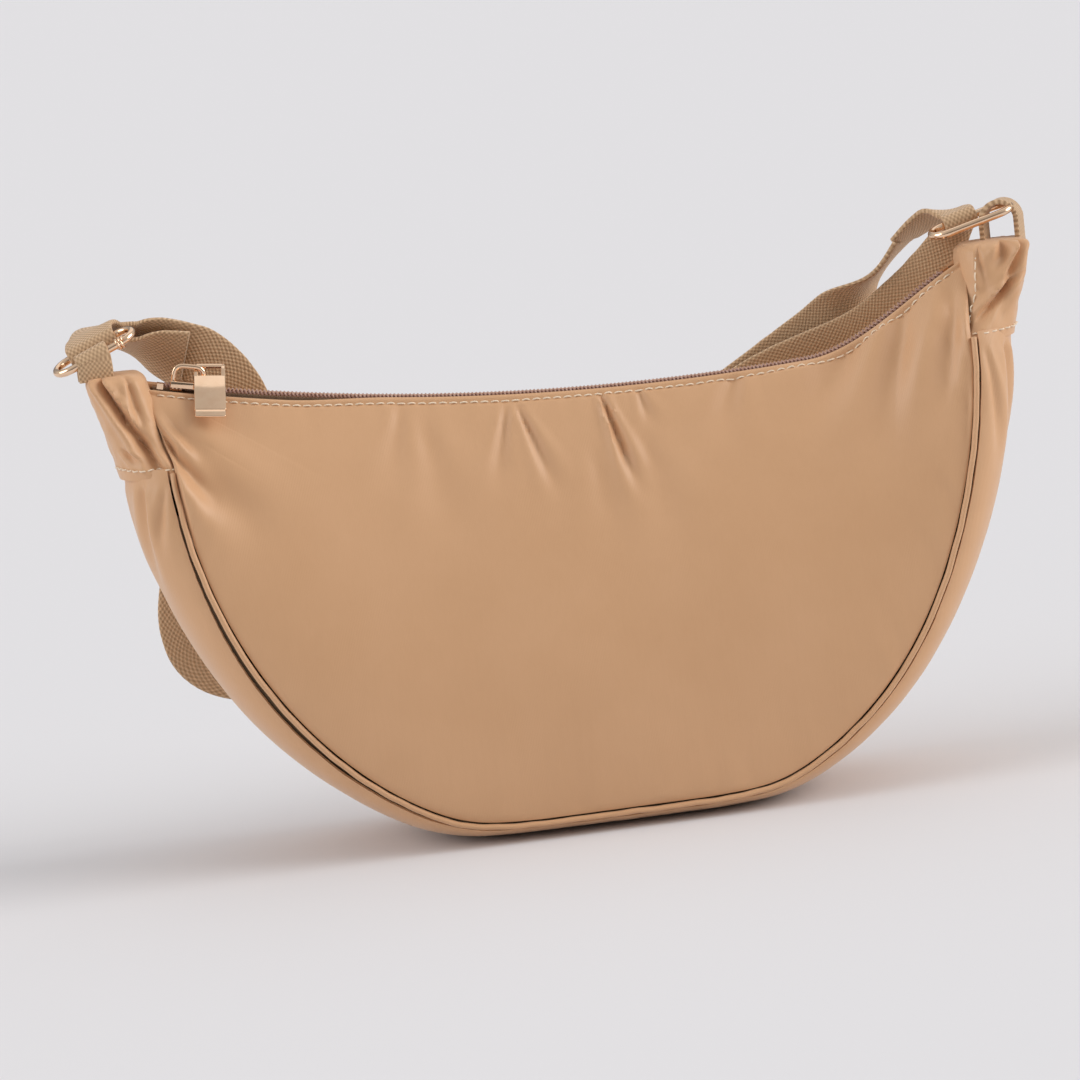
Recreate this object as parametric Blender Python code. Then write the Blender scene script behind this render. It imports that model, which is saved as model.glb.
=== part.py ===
# Half-moon belt bag with a top zip, two end tabs, two oval rings and a webbing strap.
# Metres, +Z up. The bag stands on its flat underside and its front panel faces -Y.
import bpy
import bmesh
import math
from mathutils import Vector, Matrix

mm = 0.001

# Driving sizes of the bag body
gap = 0.3 * mm                      # clearance between neighbours that touch
tape_clearance = 0.5 * mm           # the zip tape's, on both of its faces
cloth = 1.2 * mm                    # outer nylon with its backing
lining_thickness = 0.6 * mm
tape_thickness = 0.5 * mm
seam_half_width = 140 * mm          # front seam, centre to side
seam_drop = 155 * mm                # seam ellipse, height above its lowest point
waist_height = 150 * mm             # centre height of the seam and gusset ellipses
belly_swell = 17 * mm               # the gusset's middle line stands this far outside the seam
belly_fall = 8 * mm                 # and this far below it
belly_half_width = seam_half_width + belly_swell
belly_drop = seam_drop + belly_fall
seam_floor = 6 * mm                 # the seam runs this high along the flat underside
flat_share = 0.87                   # the underside is flat from this share of its roundness on
floor_blend = 6 * mm                # how softly the sides meet the flat underside
floor_cut = 1 * mm
seam_start_drop = 6 * mm            # the seam leaves the tabs this far below the waist
seam_start_height = waist_height - seam_start_drop
seam_rise = 12 * mm                 # the right end is bent up this far
seam_rise_start = 85 * mm
bottom_half_depth = 36 * mm
end_half_depth = 16 * mm
panel_belly = 13 * mm               # how far a full-height panel swells

# Zip line: one circular track, then a short rise into the right tab
track_radius = 800 * mm
track_centre_x = 40 * mm
track_drop = 1 * mm                 # the zip's lowest point, below the waist
track_low = waist_height - track_drop
rise_start = 84 * mm
rise_end = 158 * mm
rise_height = 26 * mm
zip_left_reach = 7 * mm             # past the seam's left end
zip_right_reach = 3 * mm
zip_left = -(seam_half_width + zip_left_reach)
zip_right = seam_half_width + zip_right_reach
hem_half_gap = 4.5 * mm             # zip centre line to the panel hem
coil_half_gap = 0.5 * mm
coil_width = 1.9 * mm
coil_height = 1.8 * mm
coil_setback = 8 * mm               # coil ends this far inside the zip line's ends
tape_under_panel = 9 * mm
stop_length = 2.2 * mm
stop_height = 2.0 * mm

# Slider and its pull
slider_rest_inset = 16 * mm         # from the zip's left end
slider_rest_x = zip_left + slider_rest_inset
slider_length = 12 * mm
slider_half_width = 3.1 * mm
slider_plate = 0.8 * mm
slider_flange = 0.45 * mm
slider_post = 0.5 * mm
bridge_wire = 1.2 * mm
bridge_span = 10.4 * mm
bridge_height = 6.2 * mm
pull_width = 10.8 * mm
pull_length = 26 * mm
pull_thickness = 1.2 * mm
pull_left_reach = 3 * mm            # hinge leg to the pull's left edge
pull_eye_length = 4.4 * mm          # eye, along the pull
pull_eye_side = 1.4 * mm            # metal beside the eye
pull_end_bar = 1.5 * mm             # metal above the eye
pull_axis_height = 3.7 * mm         # hinge line above the slider's top plate
pull_hang_deg = 37                  # slope of the hanging pull below level
pull_tilt_deg = 7                   # the pull's hinge line falls to the right
pull_clip_share = 0.2               # clipped lower corners, share of the width

# Tabs, webbing and rings
left_tab_rise = 25 * mm             # the tabs' tops, above the waist
right_tab_rise = 33.5 * mm
left_tab_top = waist_height + left_tab_rise
right_tab_top = waist_height + right_tab_rise
left_tab_top_width = 11.5 * mm
right_tab_top_width = 18 * mm
tab_wall_gap = 0.7 * mm
tab_level_shares = (0, 0.35, 0.7, 1)
tab_leans = (0, 1 * mm, 3 * mm, 5.5 * mm)          # inner side, out from the panel's end
tab_bulges = (1.5 * mm, 4 * mm, 7 * mm, 9 * mm)    # outer side, out from the gusset
tab_outline_shares = ((-1, -0.8), (-0.7, -1), (0.7, -1), (1, -0.8),
                      (1, 0.8), (0.7, 1), (-0.7, 1), (-1, 0.8))
webbing_thickness = 1.8 * mm
left_keeper_width = 12 * mm         # gathered webbing that holds a ring
left_keeper_shift = -1 * mm         # off the bar's middle, along the bar
right_keeper_width = 8 * mm
right_keeper_turn_deg = 27          # its width is turned this far off the depth
left_wrap_width = 18 * mm           # the strap where it wraps a ring's bar
left_wrap_shift = 0
right_wrap_width = 12 * mm
right_wrap_shift = -2.9 * mm
strap_width = 25 * mm
ring_wire = 2.7 * mm
ring_length = 32 * mm               # outside
ring_width = 13.7 * mm              # outside
left_ring_out = 4.3 * mm            # ring centres, out from the gusset
left_ring_setback = 2 * mm          # behind the zip
left_ring_rise = 8.4 * mm           # and above the tabs
left_ring_centre = (-(belly_half_width + left_ring_out), left_ring_setback, left_tab_top + left_ring_rise)
left_ring_rise_deg = 22
left_ring_back_deg = 14
right_ring_in = 9.1 * mm
right_ring_setback = 4 * mm
right_ring_rise = 7.4 * mm
right_ring_centre = (belly_half_width - right_ring_in, right_ring_setback, right_tab_top + right_ring_rise)
right_ring_rise_deg = 14
right_ring_back_deg = 8
right_keeper_radius = 6.5 * mm
right_keeper_out = 3.4 * mm
right_keeper_rise = 8.1 * mm
right_keeper_centre = (belly_half_width + right_keeper_out, right_tab_top + right_keeper_rise)
adjuster_wall = 2.6 * mm
adjuster_thickness = 2.4 * mm
adjuster_inside = 26.5 * mm
adjuster_slot = 7.5 * mm
adjuster_setback = 35 * mm          # behind the zip
adjuster_drop = 50 * mm             # below the waist
adjuster_centre = (0, adjuster_setback, waist_height - adjuster_drop)
adjuster_rise_deg = 27              # the strap climbs to the right
adjuster_lean_deg = 18              # and lies back against the panel
adjuster_rest_span = 16 * mm        # the strap runs flat this far either side of the adjuster

# The strap's route, in millimetres: centre, direction of the width, width.
# It is drawn for this belly half width and waist height, and follows the real ones.
route_drawn_for = (157, 150)
left_tail = [(-131, 22.5, 174, 0, 0.3, -0.95, 24), (-140, 25, 178, 0, 0.6, -0.8, 22),
             (-149, 25.5, 182, -0.1, 0.95, -0.3, 20), (-157.5, 21.5, 184, -0.6, 0.75, -0.1, 18)]
strap_run = [(-162.3, 13, 188.8, -0.92, 0.05, -0.38, 18), (-158.5, 22.5, 189.5, -0.6, 0.75, -0.1, 19),
             (-149.5, 28.5, 187.5, -0.1, 0.95, -0.3, 21), (-140, 28.5, 182.5, 0, 0.6, -0.8, 23),
             (-131, 26.5, 176.5, 0, 0.25, -0.97, 25), (-123, 26.5, 169.5, -0.5, 0, -0.87, 25),
             (-117, 27, 160.5, -0.8, 0, -0.6, 25), (-114, 28.5, 149, -0.98, 0, -0.15, 25),
             (-115.5, 31, 135, -0.98, 0, 0.15, 25), (-121, 34, 120, -0.93, 0, 0.35, 25),
             (-130, 37, 105, -0.88, 0, 0.45, 25), (-137.5, 40, 91, -0.93, -0.05, 0.3, 25),
             (-139.5, 43, 77, -0.97, -0.05, -0.2, 25), (-136, 45.5, 66, -0.75, 0, -0.65, 25),
             (-126, 46.5, 60, -0.25, 0, -0.97, 25), (-112, 45.5, 59.5, 0, 0.05, -1, 25),
             (-85, 42.5, 64, 0.15, 0.05, -0.98, 25), (-55, 40, 74, 0.3, 0.15, -0.94, 25),
             (-30, 38, 86, 0.42, 0.27, -0.87, 25)]
strap_rise = [(40, 37, 120.5, 0.43, 0.2, -0.87, 25), (60, 36.5, 132, 0.45, 0.15, -0.87, 25),
              (80, 36, 143.5, 0.48, 0.1, -0.87, 25), (100, 35, 155.5, 0.52, 0, -0.85, 25),
              (117, 34, 173, 0.3, 0.85, -0.43, 24), (129, 31, 186.5, 0.4, 0.8, -0.4, 20)]
strap_hump = [(138.5, 22.5, 194.5, 0.8, 0.45, -0.35, 15), (143.8, 13.5, 194.8, 0.97, 0, 0.2, 12)]
right_tail = [(145.2, 14.3, 187.3, 0.97, 0, 0.22, 12), (142, 18.3, 183, 0.9, -0.1, -0.15, 14),
              (136, 20.5, 176.5, 0.72, -0.25, -0.6, 18), (126, 23.5, 167, 0.5, -0.15, -0.85, 23),
              (109, 26, 155, 0.4, 0, -0.92, 25),
              (75, 31.3, 140.5, 0.42, 0.1, -0.9, 25), (45, 32.5, 123.5, 0.43, 0.25, -0.87, 25)]

# The strap through the adjuster, in its own plane: along the strap, out of the plane
over_adjuster = [(-11.6, -2.55), (-8.2, -2.4), (-6.2, -0.8), (-5.0, 1.9), (-3.2, 4.6), (0, 5.8),
                 (3.2, 4.6), (5.0, 1.9), (6.2, -0.8), (8.2, -2.4), (11.6, -2.55)]
under_adjuster = [(16, -4.85), (11, -4.85), (7.5, -4.8), (4, -4.1)]
bar_loop_radius = 3.05 * mm
bar_loop_turns = 10

# Mesh steps
panel_columns = 30
panel_rows = 5                      # below the zip tape
gusset_rows = 8
slope_step = 1 * mm                 # over which the zip line's slope is measured
wire_sides = 8
keeper_steps = 6
wrap_steps = 8
strap_step = 5 * mm
piping_radius = 1.2 * mm
piping_sides = 6
seam_trim = 1.7 * mm                # panel edge to seam line
gusset_trim = 2.3 * mm
lining_trim = 5.2 * mm
lining_start = 2 * mm               # below the hem
lining_end_share = 0.03
piping_end_share = 0.004            # the piping stops this far short of the seam's ends
corner_share = 0.06                 # part of a panel's border that runs up each tab
corner_trim_share = 0.3             # near the tabs a panel is trimmed by no more than this
tape_end_share = 0.012              # the tape stops this far short of the tabs
tape_limit_share = 0.6              # nor does the tape reach further down
corner_cut_share = 0.15             # the border starts this far down that stretch

# The body's place, which centres the whole object's box on the origin
body_shift = Vector((3.355 * mm, -4.75 * mm, 0))


def clear_scene():
    for old in list(bpy.data.objects):
        bpy.data.objects.remove(old, do_unlink=True)


def make_material(name, colour, roughness, metallic):
    material = bpy.data.materials.new(name)
    material.use_nodes = True
    shader = material.node_tree.nodes["Principled BSDF"]
    shader.inputs["Base Color"].default_value = (*colour, 1)
    shader.inputs["Roughness"].default_value = roughness
    shader.inputs["Metallic"].default_value = metallic
    return material


def finish_mesh(name, mesh, material, smooth_deg=40):
    bm = bmesh.new()
    bm.from_mesh(mesh)
    bmesh.ops.recalc_face_normals(bm, faces=bm.faces)
    bm.to_mesh(mesh)
    bm.free()
    mesh.shade_smooth()
    mesh.set_sharp_from_angle(angle=math.radians(smooth_deg))
    thing = bpy.data.objects.new(name, mesh)
    mesh.materials.append(material)
    bpy.context.collection.objects.link(thing)
    thing.parent = frame
    return thing


def mesh_from(name, points, faces, material, smooth_deg=40):
    mesh = bpy.data.meshes.new(name)
    mesh.from_pydata([tuple(p) for p in points], [], faces)
    return finish_mesh(name, mesh, material, smooth_deg)


def grid_normals(grid):
    # Unit normals of a grid of points, from the differences to its neighbours
    columns, rows = len(grid), len(grid[0])
    normals = []
    for i in range(columns):
        line = []
        for j in range(rows):
            along = grid[min(i + 1, columns - 1)][j] - grid[max(i - 1, 0)][j]
            across = grid[i][min(j + 1, rows - 1)] - grid[i][max(j - 1, 0)]
            line.append(along.cross(across).normalized())
        normals.append(line)
    return normals


def sheet(name, grid, near, far, material):
    # A closed sheet between two offsets of a grid, measured inwards from it
    columns, rows = len(grid), len(grid[0])
    normals = grid_normals(grid)
    points = []
    for depth in (near, far):
        for i in range(columns):
            for j in range(rows):
                points.append(grid[i][j] - normals[i][j] * depth)
    layer = columns * rows

    def at(side, i, j):
        return side * layer + i * rows + j

    faces = []
    for i in range(columns - 1):
        for j in range(rows - 1):
            faces.append((at(0, i, j), at(0, i + 1, j), at(0, i + 1, j + 1), at(0, i, j + 1)))
            faces.append((at(1, i, j), at(1, i, j + 1), at(1, i + 1, j + 1), at(1, i + 1, j)))
    for i in range(columns - 1):
        for j in (0, rows - 1):
            faces.append((at(0, i, j), at(0, i + 1, j), at(1, i + 1, j), at(1, i, j)))
    for j in range(rows - 1):
        for i in (0, columns - 1):
            faces.append((at(0, i, j), at(0, i, j + 1), at(1, i, j + 1), at(1, i, j)))
    return mesh_from(name, points, faces, material)


def sweep(name, centres, sides, ups, section, material, closed=False, smooth_deg=40):
    # A section of (side, up) points carried along a line of centres
    count, ring = len(centres), len(section)
    points = []
    for centre, side, up in zip(centres, sides, ups):
        for a, b in section:
            points.append(centre + side * a + up * b)
    faces = []
    for i in range(count if closed else count - 1):
        k = (i + 1) % count
        for j in range(ring):
            m = (j + 1) % ring
            faces.append((i * ring + j, i * ring + m, k * ring + m, k * ring + j))
    if not closed:
        faces.append(tuple(range(ring)))
        faces.append(tuple((count - 1) * ring + j for j in reversed(range(ring))))
    return mesh_from(name, points, faces, material, smooth_deg)


def circle_section(radius, sides):
    turn = 2 * math.pi / sides
    return [(radius * math.cos(turn * (k + 0.5)), radius * math.sin(turn * (k + 0.5)))
            for k in range(sides)]


def box_section(width, height):
    half_w, half_h = width / 2, height / 2
    return [(-half_w, -half_h), (half_w, -half_h), (half_w, half_h), (-half_w, half_h)]


def extrude_outline(name, outline, depth, place, material, holes=()):
    # A flat plate: the outline's (x, y) points, thick along the place's z
    bm = bmesh.new()
    for loop in (outline, *holes):
        corners = [bm.verts.new((x, y, -depth / 2)) for x, y in loop]
        for k, corner in enumerate(corners):
            bm.edges.new((corner, corners[(k + 1) % len(corners)]))
    filled = bmesh.ops.triangle_fill(bm, use_beauty=True, edges=bm.edges[:])
    faces = [g for g in filled["geom"] if isinstance(g, bmesh.types.BMFace)]
    pushed = bmesh.ops.extrude_face_region(bm, geom=faces)
    lifted = [g for g in pushed["geom"] if isinstance(g, bmesh.types.BMVert)]
    bmesh.ops.translate(bm, vec=(0, 0, depth), verts=lifted)
    bmesh.ops.transform(bm, matrix=place, verts=bm.verts)
    mesh = bpy.data.meshes.new(name)
    bm.to_mesh(mesh)
    bm.free()
    return finish_mesh(name, mesh, material, 30)


def smoothstep(t):
    t = max(0.0, min(1.0, t))
    return t * t * (3 - 2 * t)


def track_height(x):
    return track_low + track_radius - math.sqrt(track_radius ** 2 - (x - track_centre_x) ** 2)


def zip_height(x):
    rise = smoothstep((x - rise_start) / (rise_end - rise_start)) * rise_height
    return track_height(x) + rise


def zip_slope(x):
    return (zip_height(x + slope_step) - zip_height(x - slope_step)) / (2 * slope_step)


def zip_point(share):
    x = zip_left + (zip_right - zip_left) * share
    return Vector((x, 0, zip_height(x)))


def half_depth(z):
    level = max(0.0, min(1.0, z / waist_height))
    return end_half_depth + (bottom_half_depth - end_half_depth) * math.sqrt(1 - level ** 2)


def ellipse_point(half_width, drop, angle):
    return Vector((half_width * math.cos(angle), 0, waist_height + drop * math.sin(angle)))


start_angle = math.asin((seam_start_height - waist_height) / seam_drop)


def seam_angle(share):
    # From the left tab (share 0) under the bag to the right tab (share 1)
    return (-math.pi - start_angle) + share * (math.pi + 2 * start_angle)


def floored(z, level):
    # Runs smoothly from z down on to a flat level
    rise = z - level
    return max(level, level + (rise + math.sqrt(rise ** 2 + floor_blend ** 2)) / 2 - floor_cut)


def end_lift(p):
    bend = smoothstep((p.x - seam_rise_start) / (seam_half_width - seam_rise_start))
    return seam_rise * bend * smoothstep(p.z / waist_height)


def seam_point(share, side):
    # side -1 is the front seam, +1 the back one
    p = ellipse_point(seam_half_width, seam_drop, seam_angle(share))
    p.z = floored(p.z, seam_floor)
    p.y = side * half_depth(p.z)
    p.z += end_lift(p)
    return p


def panel_border(share, side):
    # Down the left tab, along the seam, and up the right tab
    if corner_share <= share <= 1 - corner_share:
        return seam_point((share - corner_share) / (1 - 2 * corner_share), side)
    left = share < 0.5
    start = seam_point(0 if left else 1, side)
    end = zip_point(0 if left else 1)
    end.y = side * hem_half_gap
    reach = (share if left else 1 - share) / corner_share
    return end.lerp(start, corner_cut_share + (1 - corner_cut_share) * reach)


def panel_point(share, down, side):
    # down runs from the hem (0) to the border (1)
    border = panel_border(share, side)
    top = zip_point(share)
    p = top.lerp(Vector((border.x, 0, border.z)), down)
    height = (top - Vector((border.x, 0, border.z))).length
    swell = panel_belly * height / waist_height * math.sin(math.pi * down) ** 0.8
    p.y = side * (hem_half_gap + (abs(border.y) - hem_half_gap) * down + swell)
    return p


def panel_height(share):
    return (panel_point(share, 0, -1) - panel_point(share, 1, -1)).length


def tape_depth_share(share):
    return min(tape_under_panel / panel_height(share), tape_limit_share)


def border_sine(share):
    # Sine of the angle at which a panel's column meets its border
    step = corner_share / 10
    ahead, behind = panel_border(min(share + step, 1), -1), panel_border(max(share - step, 0), -1)
    column = panel_border(share, -1) - zip_point(share)
    return (ahead - behind).normalized().cross(column.normalized()).length


def column_share(i, end_share):
    return end_share + (1 - 2 * end_share) * i / panel_columns


def panel_grid(side, first, trim, end_share=0):
    grid = []
    for i in range(panel_columns + 1):
        share = column_share(i, end_share)
        reach = trim / border_sine(share)
        last = 1 - min(reach / panel_height(share), corner_trim_share)
        deepest = tape_depth_share(share)
        downs = [first / panel_height(share), deepest / 2, deepest]
        downs += [deepest + (last - deepest) * j / panel_rows for j in range(1, panel_rows + 1)]
        line = [panel_point(share, down, side) for down in downs]
        grid.append(line)
    return grid if side > 0 else [line[::-1] for line in grid]


def gusset_point(share, turn):
    # turn runs from the front seam (0) over the outer line (pi / 2) to the back seam (pi)
    seam = ellipse_point(seam_half_width, seam_drop, seam_angle(share))
    belly = ellipse_point(belly_half_width, belly_drop, seam_angle(share))
    p = seam.lerp(belly, math.sin(turn))
    floor = seam_floor * max(0.0, 1 - math.sin(turn) / flat_share)
    p.z = floored(p.z, floor)
    p.y = -half_depth(floored(seam.z, seam_floor)) * math.cos(turn)
    p.z += end_lift(p)
    return p


def turn_past_seam(share, trim):
    # The turn at which the gusset lies this far from its seam
    seam = seam_point(share, -1)
    turn, step = 0, math.pi / 400
    while (gusset_point(share, turn) - seam).length < trim:
        turn += step
    return turn


def gusset_grid(trim, end_share=0):
    grid = []
    for i in range(panel_columns + 1):
        share = column_share(i, end_share)
        first = turn_past_seam(share, trim)
        line = [gusset_point(share, first + (math.pi - 2 * first) * j / gusset_rows)
                for j in range(gusset_rows + 1)]
        grid.append(line[::-1])
    return grid


def tape_depth():
    # From the panel's outer face to the zip tape's
    return cloth + tape_clearance


def lining_depth():
    return tape_depth() + tape_thickness + tape_clearance


def make_panels():
    for side, name in ((-1, "front"), (1, "back")):
        sheet(name + "_panel", panel_grid(side, 0, seam_trim), 0, cloth, nylon)
        depth = lining_depth()
        sheet(name + "_lining", panel_grid(side, lining_start, lining_trim, lining_end_share), depth,
              depth + lining_thickness, lining_cloth)


def make_gusset():
    grid = gusset_grid(gusset_trim)
    sheet("gusset", grid, 0, cloth, nylon)
    depth = lining_depth()
    sheet("gusset_lining", gusset_grid(lining_trim, lining_end_share), depth, depth + lining_thickness,
          lining_cloth)


def make_piping():
    steps = 2 * panel_columns
    for side, name in ((-1, "front_piping"), (1, "back_piping")):
        centres = []
        for i in range(steps + 1):
            centres.append(seam_point(column_share(i * panel_columns / steps, piping_end_share), side))
        sides, ups = [], []
        for i in range(steps + 1):
            along = (centres[min(i + 1, steps)] - centres[max(i - 1, 0)]).normalized()
            across = along.cross(Vector((0, 1, 0))).normalized()
            sides.append(across)
            ups.append(along.cross(across))
        sweep(name, centres, sides, ups, circle_section(piping_radius, piping_sides), nylon)


def make_zip():
    for side, name in ((-1, "front"), (1, "back")):
        grid = []
        for i in range(panel_columns + 1):
            share = min(max(i / panel_columns, tape_end_share), 1 - tape_end_share)
            hem = panel_point(share, 0, side)
            inner = Vector((hem.x, side * (coil_half_gap + gap / 3), hem.z))
            line = [inner, hem]
            deepest = tape_depth_share(share)
            for down in (deepest / 2, deepest):
                line.append(panel_point(share, down, side))
            grid.append(line if side > 0 else line[::-1])
        depth = tape_depth()
        sheet(name + "_zip_tape", grid, depth, depth + tape_thickness, tape_cloth)
        coil_line(name + "_zip_coil", side)
    make_stops()


def coil_level():
    # Height of the coil's middle, measured from the zip line
    return coil_height / 2 - tape_depth() + gap


def coil_line(name, side):
    first, last = zip_left + coil_setback, zip_right - coil_setback
    centres, sides, ups = [], [], []
    columns = [zip_point(i / panel_columns).x for i in range(panel_columns + 1)]
    for x in [first] + [c for c in columns if first < c < last] + [last]:
        slope = Vector((1, 0, zip_slope(x))).normalized()
        up = slope.cross(Vector((0, 1, 0))).normalized()
        middle = Vector((x, side * (coil_half_gap + coil_width / 2), zip_height(x)))
        centres.append(middle + up * coil_level())
        sides.append(Vector((0, 1, 0)))
        ups.append(up)
    sweep(name, centres, sides, ups, box_section(coil_width, coil_height), coil_nylon)


def make_stops():
    for name, x in (("zip_top_stop", zip_left + coil_setback - stop_length / 2 - gap),
                    ("zip_bottom_stop", zip_right - coil_setback + stop_length / 2 + gap)):
        turn = Matrix.Rotation(-math.atan(zip_slope(x)), 4, "Y")
        wide = 2 * (coil_half_gap + coil_width)
        bm = bmesh.new()
        bmesh.ops.create_cube(bm, size=1)
        bmesh.ops.scale(bm, vec=(stop_length, wide, stop_height), verts=bm.verts)
        bmesh.ops.transform(bm, matrix=turn, verts=bm.verts)
        lift = Vector((x, 0, zip_height(x) + coil_level()))
        bmesh.ops.translate(bm, vec=lift, verts=bm.verts)
        mesh = bpy.data.meshes.new(name)
        bm.to_mesh(mesh)
        bm.free()
        finish_mesh(name, mesh, rose_gold, 30)


def track_angle(x):
    return math.asin((x - track_centre_x) / track_radius)


def slider_place():
    # Slider space: x along the zip, y across, z away from the bag, zero on the zip line
    turn = Matrix.Rotation(-track_angle(slider_rest_x), 4, "Y")
    return Matrix.Translation((slider_rest_x, 0, track_height(slider_rest_x))) @ turn


def joined(name, pieces, material):
    # Boolean union of overlapping pieces into the first one
    first = pieces[0]
    for other in pieces[1:]:
        cut = first.modifiers.new("join", "BOOLEAN")
        cut.operation = "UNION"
        cut.object = other
        cut.solver = "EXACT"
    bpy.context.view_layer.update()
    graph = bpy.context.evaluated_depsgraph_get()
    mesh = bpy.data.meshes.new_from_object(first.evaluated_get(graph))
    for piece in pieces:
        bpy.data.objects.remove(piece, do_unlink=True)
    mesh.materials.clear()
    return finish_mesh(name, mesh, material, 30)


def block(low, high):
    bm = bmesh.new()
    bmesh.ops.create_cube(bm, size=1)
    size = Vector(high) - Vector(low)
    bmesh.ops.scale(bm, vec=size, verts=bm.verts)
    bmesh.ops.translate(bm, vec=(Vector(high) + Vector(low)) / 2, verts=bm.verts)
    mesh = bpy.data.meshes.new("block")
    bm.to_mesh(mesh)
    bm.free()
    thing = bpy.data.objects.new("block", mesh)
    bpy.context.collection.objects.link(thing)
    return thing


def slider_top():
    # Upper face of the slider's top plate, in slider space
    return coil_level() + coil_height / 2 + gap + slider_plate


def make_slider():
    half = slider_length / 2
    top = slider_top()
    under = top - slider_plate
    tape_low = -(tape_depth() + tape_thickness + tape_clearance)
    wide = slider_half_width
    flange_low = coil_level() - coil_height / 2 + gap
    pieces = [block((-half, -wide, under), (half, wide, top)),
              block((-half, -wide, tape_low - slider_plate), (half, wide, tape_low)),
              block((-half, -slider_post / 2, tape_low - slider_plate / 2),
                    (-half / 3, slider_post / 2, top - slider_plate / 2))]
    for side in (-1, 1):
        inner = side * (wide - slider_flange)
        low_y, high_y = min(inner, side * wide), max(inner, side * wide)
        pieces.append(block((-half, low_y, flange_low), (half, high_y, top - slider_plate / 2)))
    span, wire, crown = bridge_span / 2, bridge_wire, top + bridge_height
    pieces.append(block((-span, -wire / 2, crown - wire), (span, wire / 2, crown)))
    for low in (-span, span - wire):
        pieces.append(block((low, -wire / 2, top - slider_plate / 2), (low + wire, wire / 2, crown - wire / 2)))
    slider = joined("zip_slider", pieces, rose_gold)
    slider.data.transform(slider_place())
    return slider


def pull_place():
    # Pull space: x along the hinge line, y down the pull, z out of its face
    leg = slider_place() @ Vector((bridge_span / 2 - bridge_wire / 2, 0, slider_top() + pull_axis_height))
    lean = Matrix.Rotation(math.radians(pull_tilt_deg), 4, "Y")
    hang = Matrix.Rotation(math.radians(pull_hang_deg), 4, "X")
    face_down = Matrix.Rotation(math.pi, 4, "X")
    return Matrix.Translation(leg) @ lean @ hang @ face_down


def make_pull():
    left = -pull_left_reach
    right = left + pull_width
    top = -(pull_eye_length / 2 + pull_end_bar)
    bottom = top + pull_length
    clip = pull_width * pull_clip_share
    outline = [(left, top), (right, top), (right, bottom - clip), (right - clip, bottom),
               (left + clip, bottom), (left, bottom - clip)]
    eye_low, eye_high = -pull_eye_length / 2, pull_eye_length / 2
    eye = [(left + pull_eye_side, eye_low), (right - pull_eye_side, eye_low),
           (right - pull_eye_side, eye_high), (left + pull_eye_side, eye_high)]
    return extrude_outline("zip_pull", outline, pull_thickness, pull_place(), rose_gold, [eye])


def tab_foot(side):
    return seam_point(0 if side < 0 else 1, -1).z


def tab_inner_x(side, z):
    # The tab's inner side follows the panel's end, from the seam up to the zip
    end = zip_point(0 if side < 0 else 1)
    slope = (end.x - side * seam_half_width) / (end.z - tab_foot(side))
    return side * (seam_half_width + tab_wall_gap) + slope * (z - tab_foot(side))


def make_tab(name, side, top, top_width):
    # Four levels; the inner side leans away from the panel's end towards the top
    foot = tab_foot(side) + gap
    centres, widths = [], []
    for share, lean, bulge in zip(tab_level_shares, tab_leans, tab_bulges):
        z = foot + (top - foot) * share
        outer = belly_half_width + bulge
        inner = min(abs(tab_inner_x(side, z)) + lean, outer - top_width)
        centres.append((side * (inner + outer) / 2, z))
        widths.append((outer - inner) / 2)
    points, faces = [], []
    depth = end_half_depth - gap
    for (x, z), half in zip(centres, widths):
        for a, b in tab_outline_shares:
            points.append(Vector((x + a * half, b * depth, z)))
    ring = len(tab_outline_shares)
    last = len(centres) - 1
    for i in range(last):
        for j in range(ring):
            m = (j + 1) % ring
            faces.append((i * ring + j, i * ring + m, (i + 1) * ring + m, (i + 1) * ring + j))
    faces.append(tuple(reversed(range(ring))))
    faces.append(tuple(last * ring + j for j in range(ring)))
    mesh_from(name, points, faces, nylon)


def ring_axes(rise_deg, back_deg):
    rise, back = math.radians(rise_deg), math.radians(back_deg)
    long_way = Vector((math.cos(rise), 0, math.sin(rise)))
    flat = Vector((0, math.cos(back), math.sin(back)))
    short_way = (flat - long_way * flat.dot(long_way)).normalized()
    return long_way, short_way, long_way.cross(short_way).normalized()


def make_ring(name, centre, rise_deg, back_deg):
    long_way, short_way, normal = ring_axes(rise_deg, back_deg)
    radius = (ring_width - ring_wire) / 2
    straight = (ring_length - ring_width) / 2
    turns = 8
    centres, sides, ups = [], [], []
    for end in (1, -1):
        for k in range(turns + 1):
            a = (-math.pi / 2 + math.pi * k / turns) * end if end > 0 else math.pi / 2 + math.pi * k / turns
            out = long_way * math.cos(a) + short_way * math.sin(a)
            centres.append(Vector(centre) + long_way * straight * end + out * radius)
            sides.append(out)
            ups.append(normal)
    return sweep(name, centres, sides, ups, circle_section(ring_wire / 2, wire_sides), rose_gold,
                 closed=True)


def smooth_line(points, step):
    # Catmull-Rom through hand-chosen points, resampled about every step
    out = []
    last = len(points) - 1
    for i in range(last):
        p0, p1 = points[max(i - 1, 0)], points[i]
        p2, p3 = points[i + 1], points[min(i + 2, last)]
        length = (Vector(p1[:3]) - Vector(p2[:3])).length
        count = max(1, round(length / step))
        for k in range(count):
            t = k / count
            out.append([0.5 * (2 * b + (c - a) * t + (2 * a - 5 * b + 4 * c - d) * t * t
                               + (3 * b - a - 3 * c + d) * t ** 3)
                        for a, b, c, d in zip(p0, p1, p2, p3)])
    out.append(list(points[-1]))
    return out


def station(place, side, width):
    return [*place, *side, width]


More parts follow.
